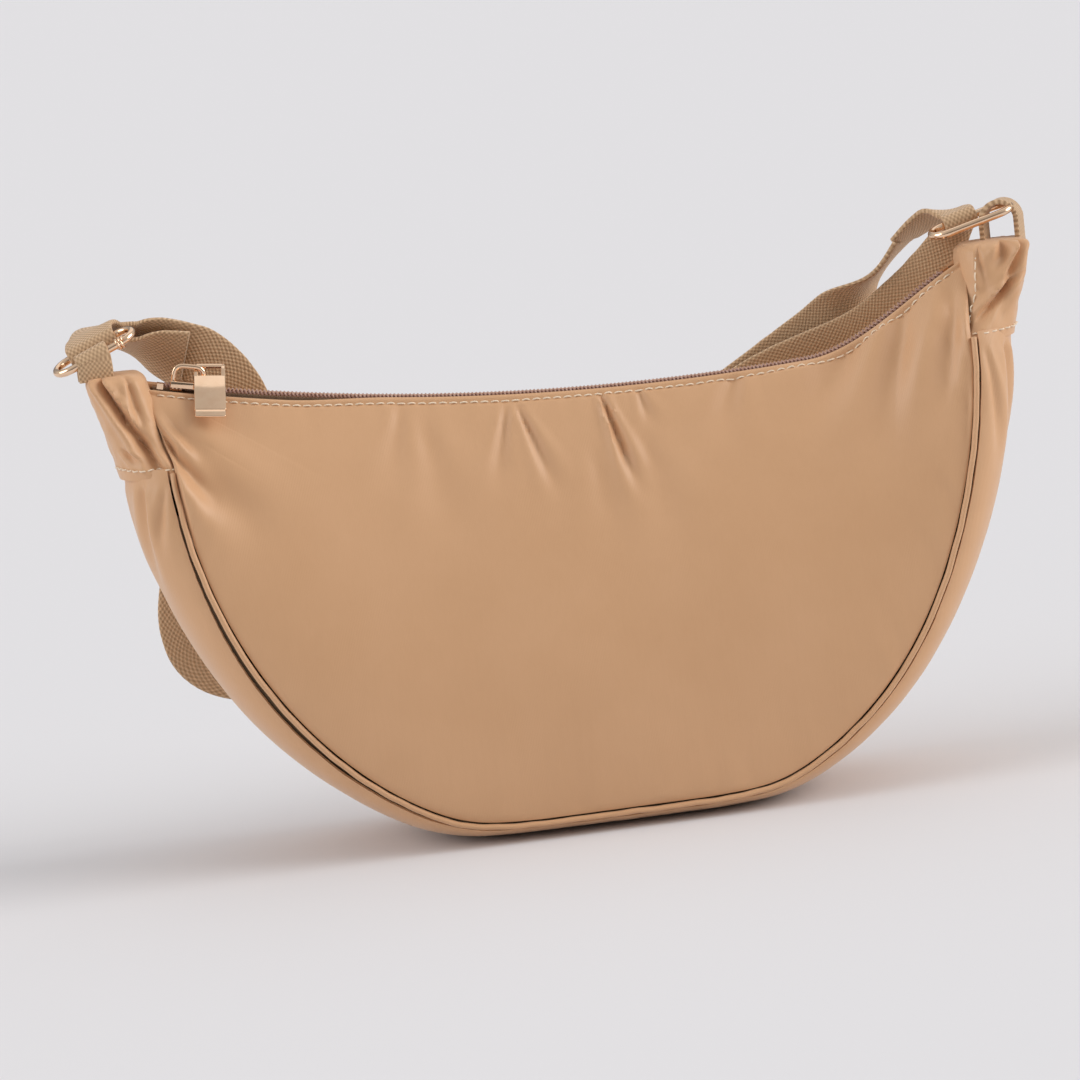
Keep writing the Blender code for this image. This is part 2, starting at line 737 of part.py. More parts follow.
def band(name, rows, thickness, material):
    # Flat webbing: each row is a centre, the direction of its width, and the width
    centres = [Vector(r[:3]) for r in rows]
    last = len(rows) - 1
    points, faces = [], []
    for i, row in enumerate(rows):
        along = (centres[min(i + 1, last)] - centres[max(i - 1, 0)]).normalized()
        side = Vector(row[3:6])
        side = (side - along * side.dot(along)).normalized()
        up = along.cross(side)
        for a, b in box_section(row[6], thickness):
            points.append(centres[i] + side * a + up * b)
    for i in range(last):
        for j in range(4):
            m = (j + 1) % 4
            faces.append((i * 4 + j, i * 4 + m, i * 4 + 4 + m, i * 4 + 4 + j))
    faces.append((0, 1, 2, 3))
    faces.append(tuple(last * 4 + j for j in (3, 2, 1, 0)))
    length = sum((centres[i + 1] - centres[i]).length for i in range(last))
    print(name, "length in mm", round(length / mm))
    return mesh_from(name, points, faces, material, 60)


def bar_offset():
    return (ring_width - ring_wire) / 2


def wrap_radius():
    return ring_wire / 2 + gap + webbing_thickness / 2


def make_left_keeper():
    # An arch of webbing over the ring's front bar, both feet on the tab
    long_way, short_way, normal = ring_axes(left_ring_rise_deg, left_ring_back_deg)
    bar = Vector(left_ring_centre) - short_way * bar_offset() + long_way * left_keeper_shift
    foot = left_tab_top + gap
    radius = wrap_radius() + gap / 2
    level = Vector((1, 0, 0))
    rows = []
    for k in range(keeper_steps + 1):
        a = math.pi * k / keeper_steps
        place = bar + short_way * math.cos(a) * radius + normal * math.sin(a) * radius
        rows.append(station(place, long_way, left_keeper_width))
    for end in (0, -1):
        low = Vector(rows[end][:3])
        low.z = foot
        row = station(low, level, left_keeper_width)
        rows = [row] + rows if end == 0 else rows + [row]
    band("left_keeper", rows, webbing_thickness, webbing_cotton)


def make_right_keeper():
    # An arch that rises through the ring, passes over its end and comes down outside it
    foot = right_tab_top + gap
    turn = math.radians(right_keeper_turn_deg)
    across = Vector((math.sin(turn), math.cos(turn), 0))
    x, z = right_keeper_centre
    y = right_ring_centre[1]
    rows = [station((x - right_keeper_radius, y, foot), across, right_keeper_width)]
    for k in range(2 * keeper_steps + 1):
        a = math.pi - math.pi * k / (2 * keeper_steps)
        place = (x + math.cos(a) * right_keeper_radius, y, z + math.sin(a) * right_keeper_radius)
        rows.append(station(place, across, right_keeper_width))
    rows.append(station((x + right_keeper_radius, y, foot), across, right_keeper_width))
    band("right_keeper", rows, webbing_thickness, webbing_cotton)


def wrap_rows(centre, rise_deg, back_deg, shift, width, sense, first_deg, last_deg):
    # The strap round a ring's rear bar, turned about the bar between two angles
    long_way, short_way, normal = ring_axes(rise_deg, back_deg)
    bar = Vector(centre) + short_way * bar_offset() + long_way * shift
    radius = wrap_radius() + gap / 2
    rows = []
    for k in range(wrap_steps + 1):
        a = math.radians(first_deg + (last_deg - first_deg) * k / wrap_steps)
        place = bar + (short_way * math.cos(a) + normal * math.sin(a)) * radius
        rows.append(station(place, long_way * sense, width))
    return rows


def route(points):
    # Hand-chosen stations in millimetres: centre, direction of the width, width
    half_width, waist = route_drawn_for
    rows = []
    for x, y, z, *side, width in points:
        place = Vector((x / half_width * belly_half_width, y * mm, (z - waist) * mm + waist_height))
        rows.append(station(place, side, width * mm))
    return rows


def adjuster_place():
    # Adjuster space: x along the strap, y across it, z towards the bag
    rise = Matrix.Rotation(-math.radians(adjuster_rise_deg), 4, "Y")
    upright = Matrix.Rotation(math.pi / 2 + math.radians(adjuster_lean_deg), 4, "X")
    return Matrix.Translation(adjuster_centre) @ rise @ upright


def adjuster_station(along, out):
    place = adjuster_place()
    side = -place.col[1].to_3d()
    return station(place @ Vector((along, 0, -out)), side, strap_width)


def adjuster_route(points):
    return [adjuster_station(along * mm, out * mm) for along, out in points]


def bar_loop():
    # The sewn end of the strap, once round the adjuster's middle bar
    rows = []
    for k in range(bar_loop_turns + 1):
        a = -math.pi / 2 - 1.5 * math.pi * k / bar_loop_turns
        rows.append(adjuster_station(bar_loop_radius * math.cos(a), bar_loop_radius * math.sin(a)))
    return rows


def make_strap():
    left = wrap_rows(left_ring_centre, left_ring_rise_deg, left_ring_back_deg, left_wrap_shift,
                     left_wrap_width, -1, -90, -270)
    right = wrap_rows(right_ring_centre, right_ring_rise_deg, right_ring_back_deg, right_wrap_shift,
                      right_wrap_width, 1, 90, 270)
    rows = smooth_line(route(left_tail) + left[:1], strap_step)[:-1] + left
    ends = [adjuster_station(side * adjuster_rest_span, over_adjuster[0][1] * mm) for side in (-1, 1)]
    low = left[-1:] + route(strap_run) + ends[:1]
    rows += smooth_line(low, strap_step)[1:-1]
    rows += smooth_line(ends[:1] + adjuster_route(over_adjuster) + ends[1:], strap_step / 4)[:-1]
    rise = smooth_line(ends[1:] + route(strap_rise), strap_step)
    rows += rise[:-1]
    rows += smooth_line(rise[-1:] + route(strap_hump) + right[:1], strap_step)[:-1] + right
    under = adjuster_route(under_adjuster)
    rows += smooth_line(right[-1:] + route(right_tail) + under[:1], strap_step)[1:-1]
    rows += smooth_line(under + bar_loop(), strap_step / 4)
    band("shoulder_strap", rows, webbing_thickness, webbing_cotton)


def make_adjuster():
    # A slide with two slots beside a middle bar, flat against the strap behind the bag
    half_long = adjuster_inside / 2 + adjuster_wall
    half_wide = adjuster_slot + 1.5 * adjuster_wall
    outline = [(-half_wide, -half_long), (half_wide, -half_long),
               (half_wide, half_long), (-half_wide, half_long)]
    slots = []
    for side in (-1, 1):
        near = side * adjuster_wall / 2
        far = side * (adjuster_wall / 2 + adjuster_slot)
        low, high = min(near, far), max(near, far)
        slots.append([(low, -adjuster_inside / 2), (high, -adjuster_inside / 2),
                      (high, adjuster_inside / 2), (low, adjuster_inside / 2)])
    extrude_outline("strap_adjuster", outline, adjuster_thickness, adjuster_place(), rose_gold, slots)


clear_scene()
frame = bpy.data.objects.new("body_frame", None)
bpy.context.collection.objects.link(frame)
frame.location = body_shift
nylon = make_material("nylon", (0.50, 0.34, 0.21), 0.55, 0)
lining_cloth = make_material("lining_cloth", (0.42, 0.30, 0.20), 0.8, 0)
tape_cloth = make_material("tape_cloth", (0.40, 0.27, 0.17), 0.8, 0)
coil_nylon = make_material("coil_nylon", (0.30, 0.17, 0.12), 0.4, 0)
webbing_cotton = make_material("webbing_cotton", (0.36, 0.27, 0.19), 0.9, 0)
rose_gold = make_material("rose_gold", (0.86, 0.62, 0.46), 0.18, 1)

make_panels()
make_gusset()
make_piping()
make_zip()
make_slider()
make_pull()
make_tab("left_tab", -1, left_tab_top, left_tab_top_width)
make_tab("right_tab", 1, right_tab_top, right_tab_top_width)
make_ring("left_ring", left_ring_centre, left_ring_rise_deg, left_ring_back_deg)
make_ring("right_ring", right_ring_centre, right_ring_rise_deg, right_ring_back_deg)
make_left_keeper()
make_right_keeper()
make_strap()
make_adjuster()
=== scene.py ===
import bpy
import math
from mathutils import Matrix, Vector
from mathutils import noise


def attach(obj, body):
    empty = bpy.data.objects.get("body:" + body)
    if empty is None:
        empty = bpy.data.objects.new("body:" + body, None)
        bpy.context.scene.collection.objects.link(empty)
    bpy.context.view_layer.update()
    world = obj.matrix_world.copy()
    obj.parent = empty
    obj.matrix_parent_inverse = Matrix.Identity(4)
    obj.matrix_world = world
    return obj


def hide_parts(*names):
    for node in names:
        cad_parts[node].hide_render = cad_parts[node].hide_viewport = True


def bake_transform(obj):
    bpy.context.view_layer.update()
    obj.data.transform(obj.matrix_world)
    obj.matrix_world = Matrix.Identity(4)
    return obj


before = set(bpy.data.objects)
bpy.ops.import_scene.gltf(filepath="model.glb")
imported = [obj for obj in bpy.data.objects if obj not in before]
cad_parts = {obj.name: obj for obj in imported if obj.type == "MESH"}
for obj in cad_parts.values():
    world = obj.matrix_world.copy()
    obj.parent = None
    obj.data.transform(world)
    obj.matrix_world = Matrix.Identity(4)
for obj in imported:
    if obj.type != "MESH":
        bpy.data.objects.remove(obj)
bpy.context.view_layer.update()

print("frame loaded")

mm = 0.001
bagShift = Vector((3.355, -4.75, 0)) * mm  # the bag's own zero, in the frame


def framed(p):
    # millimetres from the bag's own zero, made metres in the frame
    return p * mm + bagShift


# Selecting and keeping objects

def deselectAll():
    bpy.ops.object.select_all(action="DESELECT")


def makeActive(obj):
    deselectAll()
    obj.select_set(True)
    bpy.context.view_layer.objects.active = obj


def applyAll(obj):
    makeActive(obj)
    for modifier in list(obj.modifiers):
        bpy.ops.object.modifier_apply(modifier=modifier.name)


def editMesh(obj, *steps):
    # runs mesh tools on all of an object's points
    makeActive(obj)
    bpy.ops.object.mode_set(mode="EDIT")
    bpy.ops.mesh.select_all(action="SELECT")
    for step in steps:
        step()
    bpy.ops.object.mode_set(mode="OBJECT")


def faceOutwards():
    bpy.ops.mesh.normals_make_consistent(inside=False)


clothAngle = 60  # degrees under which an edge is shaded smooth
hardAngle = 50


def smoothShade(obj, angle):
    makeActive(obj)
    bpy.ops.object.shade_smooth_by_angle(angle=math.radians(angle))


def joinInto(name, objs):
    deselectAll()
    for obj in objs:
        obj.select_set(True)
    bpy.context.view_layer.objects.active = objs[0]
    if len(objs) > 1:
        bpy.ops.object.join()
    objs[0].name = name
    objs[0].data.name = name
    return objs[0]


def keep(obj, body, material, slot, *nodes):
    obj.data.materials.clear()
    obj.data.materials.append(material)
    if isinstance(body, str):
        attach(obj, body)
    else:
        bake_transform(obj)
    if nodes:
        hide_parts(*nodes)
    return obj


def makeGrid(name, columns, rows, place):
    # a grid of columns by rows points, each moved to place(u, v), with u and v from 0 to 1
    deselectAll()
    bpy.ops.mesh.primitive_grid_add(x_subdivisions=columns - 1, y_subdivisions=rows - 1, size=1)
    obj = bpy.context.object
    obj.name = name
    obj.data.name = name
    for vertex in obj.data.vertices:
        vertex.co = place(vertex.co.x + 0.5, vertex.co.y + 0.5)
    obj.data.update()
    return obj


def thicken(obj, thickness, offset):
    solid = obj.modifiers.new("thick", "SOLIDIFY")
    solid.thickness = thickness * mm
    solid.offset = offset
    solid.use_quality_normals = True
    applyAll(obj)


def makeCloth(name, columns, rows, place, thickness, offset):
    # a sheet of cloth, its thickness in millimetres, with its faces pointing outwards
    cloth = makeGrid(name, columns, rows, place)
    thicken(cloth, thickness, offset)
    editMesh(cloth, faceOutwards)
    smoothShade(cloth, clothAngle)
    return cloth


# Shader expressions

def setSocket(tree, socket, value):
    # links a wire, or sets a plain value
    if isinstance(value, Wire):
        tree.links.new(value.socket, socket)
    else:
        socket.default_value = value


def wired(tree, node, values):
    # gives a node's first inputs their values, in order
    for socket, value in zip(node.inputs, values):
        setSocket(tree, socket, value)
    return Wire(tree, node.outputs[0])


class Wire:
    # one shader socket, so that sums on it add their Math nodes
    def __init__(self, tree, socket):
        self.tree = tree
        self.socket = socket

    def math(self, operation, *values):
        node = self.tree.nodes.new("ShaderNodeMath")
        node.operation = operation
        return wired(self.tree, node, values)

    def __add__(self, other):
        return self.math("ADD", self, other)

    def __radd__(self, other):
        return self.math("ADD", other, self)

    def __sub__(self, other):
        return self.math("SUBTRACT", self, other)

    def __rsub__(self, other):
        return self.math("SUBTRACT", other, self)

    def __mul__(self, other):
        return self.math("MULTIPLY", self, other)

    def __rmul__(self, other):
        return self.math("MULTIPLY", other, self)

    def sine(self):
        return self.math("SINE", self)

    def cosine(self):
        return self.math("COSINE", self)

    def raised(self):
        # from between -1 and 1 to between 0 and 1
        return self * 0.5 + 0.5


class Nodes:
    # a node tree, with methods that add nodes to it
    def __init__(self, tree):
        self.tree = tree

    def node(self, kind, settings=None, output=0, **sockets):
        node = self.tree.nodes.new(kind)
        for key, value in (settings or {}).items():
            setattr(node, key, value)
        for key, value in sockets.items():
            setSocket(self.tree, node.inputs[key.replace("_", " ")], value)
        return Wire(self.tree, node.outputs[output])

    def parts(self, vector):
        split = self.tree.nodes.new("ShaderNodeSeparateXYZ")
        self.tree.links.new(vector.socket, split.inputs[0])
        return [Wire(self.tree, output) for output in split.outputs]


class Finish(Nodes):
    # a material with its Principled shader
    def __init__(self, name, **sockets):
        self.material = bpy.data.materials.new(name)
        self.material.use_nodes = True
        super().__init__(self.material.node_tree)
        self.shader = self.tree.nodes["Principled BSDF"]
        for key, value in sockets.items():
            self.shader.inputs[key.replace("_", " ")].default_value = value

    def place(self):
        return self.node("ShaderNodeTexCoord", output=3)

    def noise(self, vector, scale, detail, rough):
        return self.node("ShaderNodeTexNoise", Vector=vector, Scale=scale, Detail=detail, Roughness=rough)

    def stretched(self, vector, scale):
        return self.node("ShaderNodeMapping", {"vector_type": "POINT"}, Vector=vector, Scale=scale)

    def mixColour(self, factor, first, second):
        node = self.tree.nodes.new("ShaderNodeMix")
        node.data_type = "RGBA"
        for index, value in ((0, factor), (6, first), (7, second)):
            value = (*value, 1) if isinstance(value, tuple) else value
            setSocket(self.tree, node.inputs[index], value)
        return Wire(self.tree, node.outputs[2])

    def feed(self, name, wire):
        self.tree.links.new(wire.socket, self.shader.inputs[name])

    def bump(self, height, distance, strength):
        self.feed("Normal", self.node("ShaderNodeBump", Strength=strength, Distance=distance, Height=height))


# Camera and stage

cameraValues = {
    "target": (-15.9, 0, 98.6), "distance": 1500, "azimuth": -4.5, "elevation": 9, "roll": 6.67,
    "millimetresPerPixel": 0.35, "pixels": 1080, "sensor": 36}


def makeCamera(v):
    azimuth, elevation, roll = (math.radians(v[key]) for key in ("azimuth", "elevation", "roll"))
    back = Vector((math.sin(azimuth) * math.cos(elevation), -math.cos(azimuth) * math.cos(elevation),
                   math.sin(elevation)))
    right = Vector((math.cos(azimuth), math.sin(azimuth), 0))
    up = back.cross(right)
    turnedRight = right * math.cos(roll) - up * math.sin(roll)
    turnedUp = right * math.sin(roll) + up * math.cos(roll)
    bpy.ops.object.camera_add(location=(0, 0, 0))
    camera = bpy.context.object
    place = Matrix((turnedRight, turnedUp, back)).transposed().to_4x4()
    place.translation = framed(Vector(v["target"])) + back * v["distance"] * mm
    camera.matrix_world = place
    camera.data.sensor_width = v["sensor"]
    camera.data.lens = v["sensor"] * v["distance"] / (v["millimetresPerPixel"] * v["pixels"])
    bpy.context.scene.camera = camera


def addSun(name, azimuth, elevation, strength, spread, colour):
    # a broad distant light; azimuth is measured from the front towards the right
    bpy.ops.object.light_add(type="SUN", location=(0, 0, 0))
    lamp = bpy.context.object
    lamp.name = name
    a, e = math.radians(azimuth), math.radians(elevation)
    towards = Vector((math.sin(a) * math.cos(e), -math.cos(a) * math.cos(e), math.sin(e)))
    lamp.rotation_euler = (-towards).to_track_quat("-Z", "Y").to_euler()
    lamp.data.energy = strength
    lamp.data.angle = math.radians(spread)
    lamp.data.color = colour


stageValues = {
    "paper": (0.753, 0.745, 0.768), "floorSize": 80, "skyLow": 0.06, "skyHigh": 0.545, "skyTop": 0.9,
    "skySide": 0.5}
sunValues = {
    # azimuth, elevation, strength, spread and colour
    "rightLight": (76, 27, 1.75, 40, (1, 0.985, 0.96)),
    "leftLight": (-78, 27, 1.05, 40, (1, 1, 1)),
    "backLight": (170, 50, 0.25, 50, (1, 1, 1))}


def makeStage(v):
    deselectAll()
    bpy.ops.mesh.primitive_plane_add(size=v["floorSize"], location=(0, 0, 0))
    floor = bpy.context.object
    floor.name = "floorSheet"
    paper = (*v["paper"], 1)
    sheet = Finish("paper", Base_Color=paper, Roughness=1.0, Specular_IOR_Level=0.0)
    floor.data.materials.append(sheet.material)
    world = bpy.data.worlds.new("studio")
    bpy.context.scene.world = world
    world.use_nodes = True
    sky = Nodes(world.node_tree)
    across, away, up = sky.parts(sky.node("ShaderNodeTexCoord"))
    level = sky.node("ShaderNodeMapRange", From_Min=0.0, From_Max=v["skyTop"], To_Min=v["skyLow"],
                     To_Max=v["skyHigh"], Value=up)
    strength = across * across * v["skySide"] + level
    air = sky.node("ShaderNodeBackground", Color=(1, 1, 1, 1), Strength=strength)
    seen = sky.node("ShaderNodeBackground", Color=paper)
    shown = (sky.node("ShaderNodeLightPath"), air, seen)  # the camera sees the plain paper colour
    mix = wired(sky.tree, sky.tree.nodes.new("ShaderNodeMixShader"), shown)
    setSocket(sky.tree, sky.tree.nodes["World Output"].inputs[0], mix)


makeCamera(cameraValues)
makeStage(stageValues)
for sunName, sun in sunValues.items():
    addSun(sunName, *sun)
bpy.context.scene.view_settings.view_transform = "Standard"
print("camera and light set")


# Shape of the bag body, in millimetres from the bag's own zero

body = {
    "seamHalfWidth": 140, "seamDrop": 155, "waistHeight": 150, "bellyHalfWidth": 157, "bellyDrop": 163,
    "seamFloor": 6, "flatShare": 0.87, "floorBlend": 6, "floorCut": 1, "seamStart": 144, "seamRise": 12,
    "seamRiseStart": 85, "bottomHalfDepth": 36, "endHalfDepth": 16, "swell": 13, "trackRadius": 800,
    "trackCentre": 40, "trackLow": 149, "riseStart": 84, "riseEnd": 158, "riseHeight": 26, "zipLeft": -147,
    "zipRight": 143, "hemHalfGap": 4.5, "cornerShare": 0.06, "cornerCut": 0.15}


def smoothStep(t):
    t = max(0.0, min(1.0, t))
    return t * t * (3 - 2 * t)


def zipHeight(x):
    arc = body["trackLow"] + body["trackRadius"] - math.sqrt(body["trackRadius"] ** 2
                                                            - (x - body["trackCentre"]) ** 2)
    rise = (x - body["riseStart"]) / (body["riseEnd"] - body["riseStart"])
    return arc + smoothStep(rise) * body["riseHeight"]


def zipPoint(share):
    x = body["zipLeft"] + (body["zipRight"] - body["zipLeft"]) * share
    return Vector((x, 0, zipHeight(x)))


def halfDepth(z):
    level = max(0.0, min(1.0, z / body["waistHeight"]))
    least, most = body["endHalfDepth"], body["bottomHalfDepth"]
    return least + (most - least) * math.sqrt(1 - level ** 2)


def floored(z, level):
    rise = z - level
    return max(level, level + (rise + math.sqrt(rise ** 2 + body["floorBlend"] ** 2)) / 2 - body["floorCut"])


def ellipsePoint(halfWidth, drop, share):
    start = math.asin((body["seamStart"] - body["waistHeight"]) / body["seamDrop"])
    angle = -math.pi - start + share * (math.pi + 2 * start)
    return Vector((halfWidth * math.cos(angle), 0, body["waistHeight"] + drop * math.sin(angle)))


def endLift(p):
    bend = smoothStep((p.x - body["seamRiseStart"]) / (body["seamHalfWidth"] - body["seamRiseStart"]))
    return body["seamRise"] * bend * smoothStep(p.z / body["waistHeight"])


def seamPoint(share, side):
    p = ellipsePoint(body["seamHalfWidth"], body["seamDrop"], share)
    p.z = floored(p.z, body["seamFloor"])
    p.y = side * halfDepth(p.z)
    p.z += endLift(p)
    return p


def panelBorder(share, side):
    corner = body["cornerShare"]
    if corner <= share <= 1 - corner:
        return seamPoint((share - corner) / (1 - 2 * corner), side)
    left = share < 0.5
    start = seamPoint(0 if left else 1, side)
    end = zipPoint(0 if left else 1)
    end.y = side * body["hemHalfGap"]
    reach = (share if left else 1 - share) / corner
    return end.lerp(start, body["cornerCut"] + (1 - body["cornerCut"]) * reach)


def panelPoint(share, down, side):
    border = panelBorder(share, side)
    top = zipPoint(share)
    foot = Vector((border.x, 0, border.z))
    p = top.lerp(foot, down)
    swell = body["swell"] * (top - foot).length / body["waistHeight"] * math.sin(math.pi * down) ** 0.8
    p.y = side * (body["hemHalfGap"] + (abs(border.y) - body["hemHalfGap"]) * down + swell)
    return p


def gussetPoint(share, turn):
    seam = ellipsePoint(body["seamHalfWidth"], body["seamDrop"], share)
    belly = ellipsePoint(body["bellyHalfWidth"], body["bellyDrop"], share)
    p = seam.lerp(belly, math.sin(turn))
    floor = body["seamFloor"] * max(0.0, 1 - math.sin(turn) / body["flatShare"])
    p.z = floored(p.z, floor)
    p.y = -halfDepth(floored(seam.z, body["seamFloor"])) * math.cos(turn)
    p.z += endLift(p)
    return p


twoSides = ((-1, "front"), (1, "back"))


# Folds of the cloth

frontCreases = [
    # upper end x and z, lower end x and z, depth, half width
    (12, 142, 19, 115, 2.3, 1.7), (-17, 142, -9, 118, 1.4, 2.0), (-24, 143, -30, 122, 1.1, 2.4),
    (24, 146, 27, 135, 0.9, 1.8), (24, 126, 30, 92, 0.8, 6.0), (6, 124, 9, 96, 0.7, 5.0),
    (-52, 140, -46, 104, 0.8, 6.0), (-141, 152, -125, 127, 4.2, 2.8), (-134, 152, -112, 116, 2.4, 5.0),
    (104, 158, 78, 128, 2.6, 6.0), (118, 160, 100, 112, 2.4, 6.0), (134, 160, 124, 120, 2.4, 5.0),
    (-60, 148, -66, 128, 0.9, 4.0), (58, 148, 48, 128, 1.2, 4.0), (137, 142, 131, 100, 1.2, 4.0)]
backCreases = [
    (-90, 152, -80, 118, 2.0, 5.0), (30, 148, 22, 116, 1.8, 4.0), (100, 158, 84, 120, 2.2, 6.0),
    (-134, 150, -120, 118, 2.4, 5.0), (-8, 148, -4, 126, 1.2, 3.0)]
creaseValues = {
    "before": 0.4, "after": 1.3, "narrow": 0.55, "widening": 0.9, "widest": 4, "fadeIn": 0.5,
    "fadeFrom": 1.25, "fadeOut": 0.9, "banks": ((0.55, 1.9, 1.1), (0.35, -2.1, 1.3))}


def creaseDepth(x, z, creases):
    # how far creases sink the cloth here; their banks rise at both sides
    c = creaseValues
    total = 0
    for x0, z0, x1, z1, depth, width in creases:
        run = Vector((x1 - x0, z1 - z0))
        length = run.length
        run.normalize()
        away = Vector((x - x0, z - z0))
        along = away.dot(run) / length
        if along < -c["before"] or along > c["after"]:
            continue
        spread = width * (c["narrow"] + c["widening"] * max(along, 0))
        across = (away.x * run.y - away.y * run.x) / spread
        if abs(across) > c["widest"]:
            continue
        fade = smoothStep((along + c["before"]) / c["fadeIn"])
        fade *= smoothStep((c["fadeFrom"] - along) / c["fadeOut"])
        form = math.exp(-across ** 2)
        for size, at, wide in c["banks"]:
            form -= size * math.exp(-((across - at) / wide) ** 2)
        total += depth * fade * form
    return total


def softNoise(x, y, z, scale):
    return noise.noise(Vector((x, y, z)) / scale)


panelValues = {
    "columns": 281, "rows": 161, "thickness": 1.0, "evenShare": 0.35, "slopeStep": 0.004, "rim": 3,
    "hemPucker": 0.45, "hemReach": 9, "hemScale": 5.5, "seamPucker": 0.8, "seamReach": 14, "seamScale": 8,
    "wave": 1.1, "waveScale": 55, "seamTrim": 1.5, "trimShare": 0.06, "least": 0.1, "seamTuck": 0.5,
    "tuckReach": 0.8, "hemRoll": 0.3, "rollAt": 0.7, "hemGroove": 0.4, "grooveHalf": 0.7, "hemDrop": 1.9,
    "dropFrom": -62, "dropTo": -100, "dropReach": 12, "flat": (0.300, 0.168), "flatArea": 0.0369}
stitchFromHem = 1.9
panelFolds = {-1: (frontCreases, 3), 1: (backCreases, 40)}  # with where each side's noise starts
panelEnds = {}


def borderSine(share):
    # sine of the angle at which a panel's column meets its border
    step = body["cornerShare"] / 10
    border = panelBorder(min(share + step, 1), -1) - panelBorder(max(share - step, 0), -1)
    return border.normalized().cross((panelBorder(share, -1) - zipPoint(share)).normalized()).length


def hemDrop(x, side):
    # the front hem sits lower at the left, where the zip's teeth show over it
    v = panelValues
    reach = (v["dropFrom"] - x) / (v["dropFrom"] - v["dropTo"])
    return v["hemDrop"] * smoothStep(reach) if side < 0 else 0


def panelEnd(u, side):
    # the share of the way down at which the cloth ends, just short of the seam
    if (u, side) not in panelEnds:
        height = (zipPoint(u) - panelBorder(u, side)).length
        trim = panelValues["seamTrim"] / max(borderSine(u), panelValues["least"]) / height
        panelEnds[(u, side)] = (1 - min(trim, panelValues["trimShare"]), height)
    return panelEnds[(u, side)]


def panelSurface(u, down, side, depth):
    # a point of the creased panel, this deep behind its outer face
    v = panelValues
    creases, seed = panelFolds[side]
    last, height = panelEnd(u, side)
    p = panelPoint(u, down, side)
    step = v["slopeStep"]
    alongU = panelPoint(min(u + step, 1), down, side) - panelPoint(max(u - step, 0), down, side)
    alongW = panelPoint(u, min(down + step, 1), side) - panelPoint(u, max(down - step, 0), side)
    out = alongU.cross(alongW)
    out = out.normalized() if out.length > 0 else Vector((0, side, 0))
    if out.y * side < 0:
        out = -out
    fromHem = down * height
    fromSeam = max((last - down) * height, 0)
    rim = smoothStep(min(fromHem / v["rim"], fromSeam / v["rim"], 1))
    lift = v["hemPucker"] * softNoise(p.x, seed, 0, v["hemScale"]) * math.exp(-fromHem / v["hemReach"])
    border = panelBorder(u, side)
    pucker = softNoise(border.x, seed + 9, border.z, v["seamScale"])
    lift += v["seamPucker"] * pucker * math.exp(-fromSeam / v["seamReach"])
    lift += v["wave"] * softNoise(p.x, seed + 20, p.z, v["waveScale"])
    lift = (lift - creaseDepth(p.x, p.z, creases)) * rim
    lift += v["hemRoll"] * math.exp(-(fromHem - v["rollAt"]) ** 2)
    lift -= v["hemGroove"] * math.exp(-((fromHem - stitchFromHem) / v["grooveHalf"]) ** 2)
    lift -= v["seamTuck"] * math.exp(-fromSeam / v["tuckReach"])
    p = p + out * (lift - depth)
    p.z -= hemDrop(p.x, side) * math.exp(-fromHem / v["dropReach"])
    return p


def makePanels(v):
    for side, name in twoSides:
        def place(u, w):
            share = v["evenShare"] * w + (1 - v["evenShare"]) * w * w
            return framed(panelSurface(u, panelEnd(u, side)[0] * share, side, 0))

        shell = makeGrid(name + "Shell", v["columns"], v["rows"], place)
        if side < 0:
            editMesh(shell, bpy.ops.mesh.flip_normals)
        thicken(shell, v["thickness"], -1)
        smoothShade(shell, clothAngle)
        keep(shell, "bag", nylon, "nylon", name + "_panel")


gussetValues = {
    "columns": 341, "rows": 61, "thickness": 1.0, "pucker": 0.7, "puckerRun": 300, "puckerScale": 7,
    "reach": 0.5, "wave": 0.45, "waveRun": 260, "waveAround": 14, "waveScale": 26, "sideways": 0.6,
    "seamTrim": 1.6, "trimStep": 0.008, "gapGrow": 1.3, "gapAt": 0.2, "gapHalf": 0.11, "run": 480,
    "around": 16, "edgeSlope": 2, "covered": 4.0, "flat": (0.480, 0.088), "flatArea": 0.0352}
gussetCreases = [
    # along the border and over the width of the upper end, the same of the lower end; depth, half width
    (472, 4, 440, 11, 1.5, 1.6), (474, 13, 432, 22, 1.8, 2.2), (470, 27, 428, 36, 1.4, 2.4),
    (8, 4, 30, 12, 1.4, 1.6), (7, 12, 42, 20, 1.7, 2.2), (9, 27, 46, 36, 1.2, 2.4)]


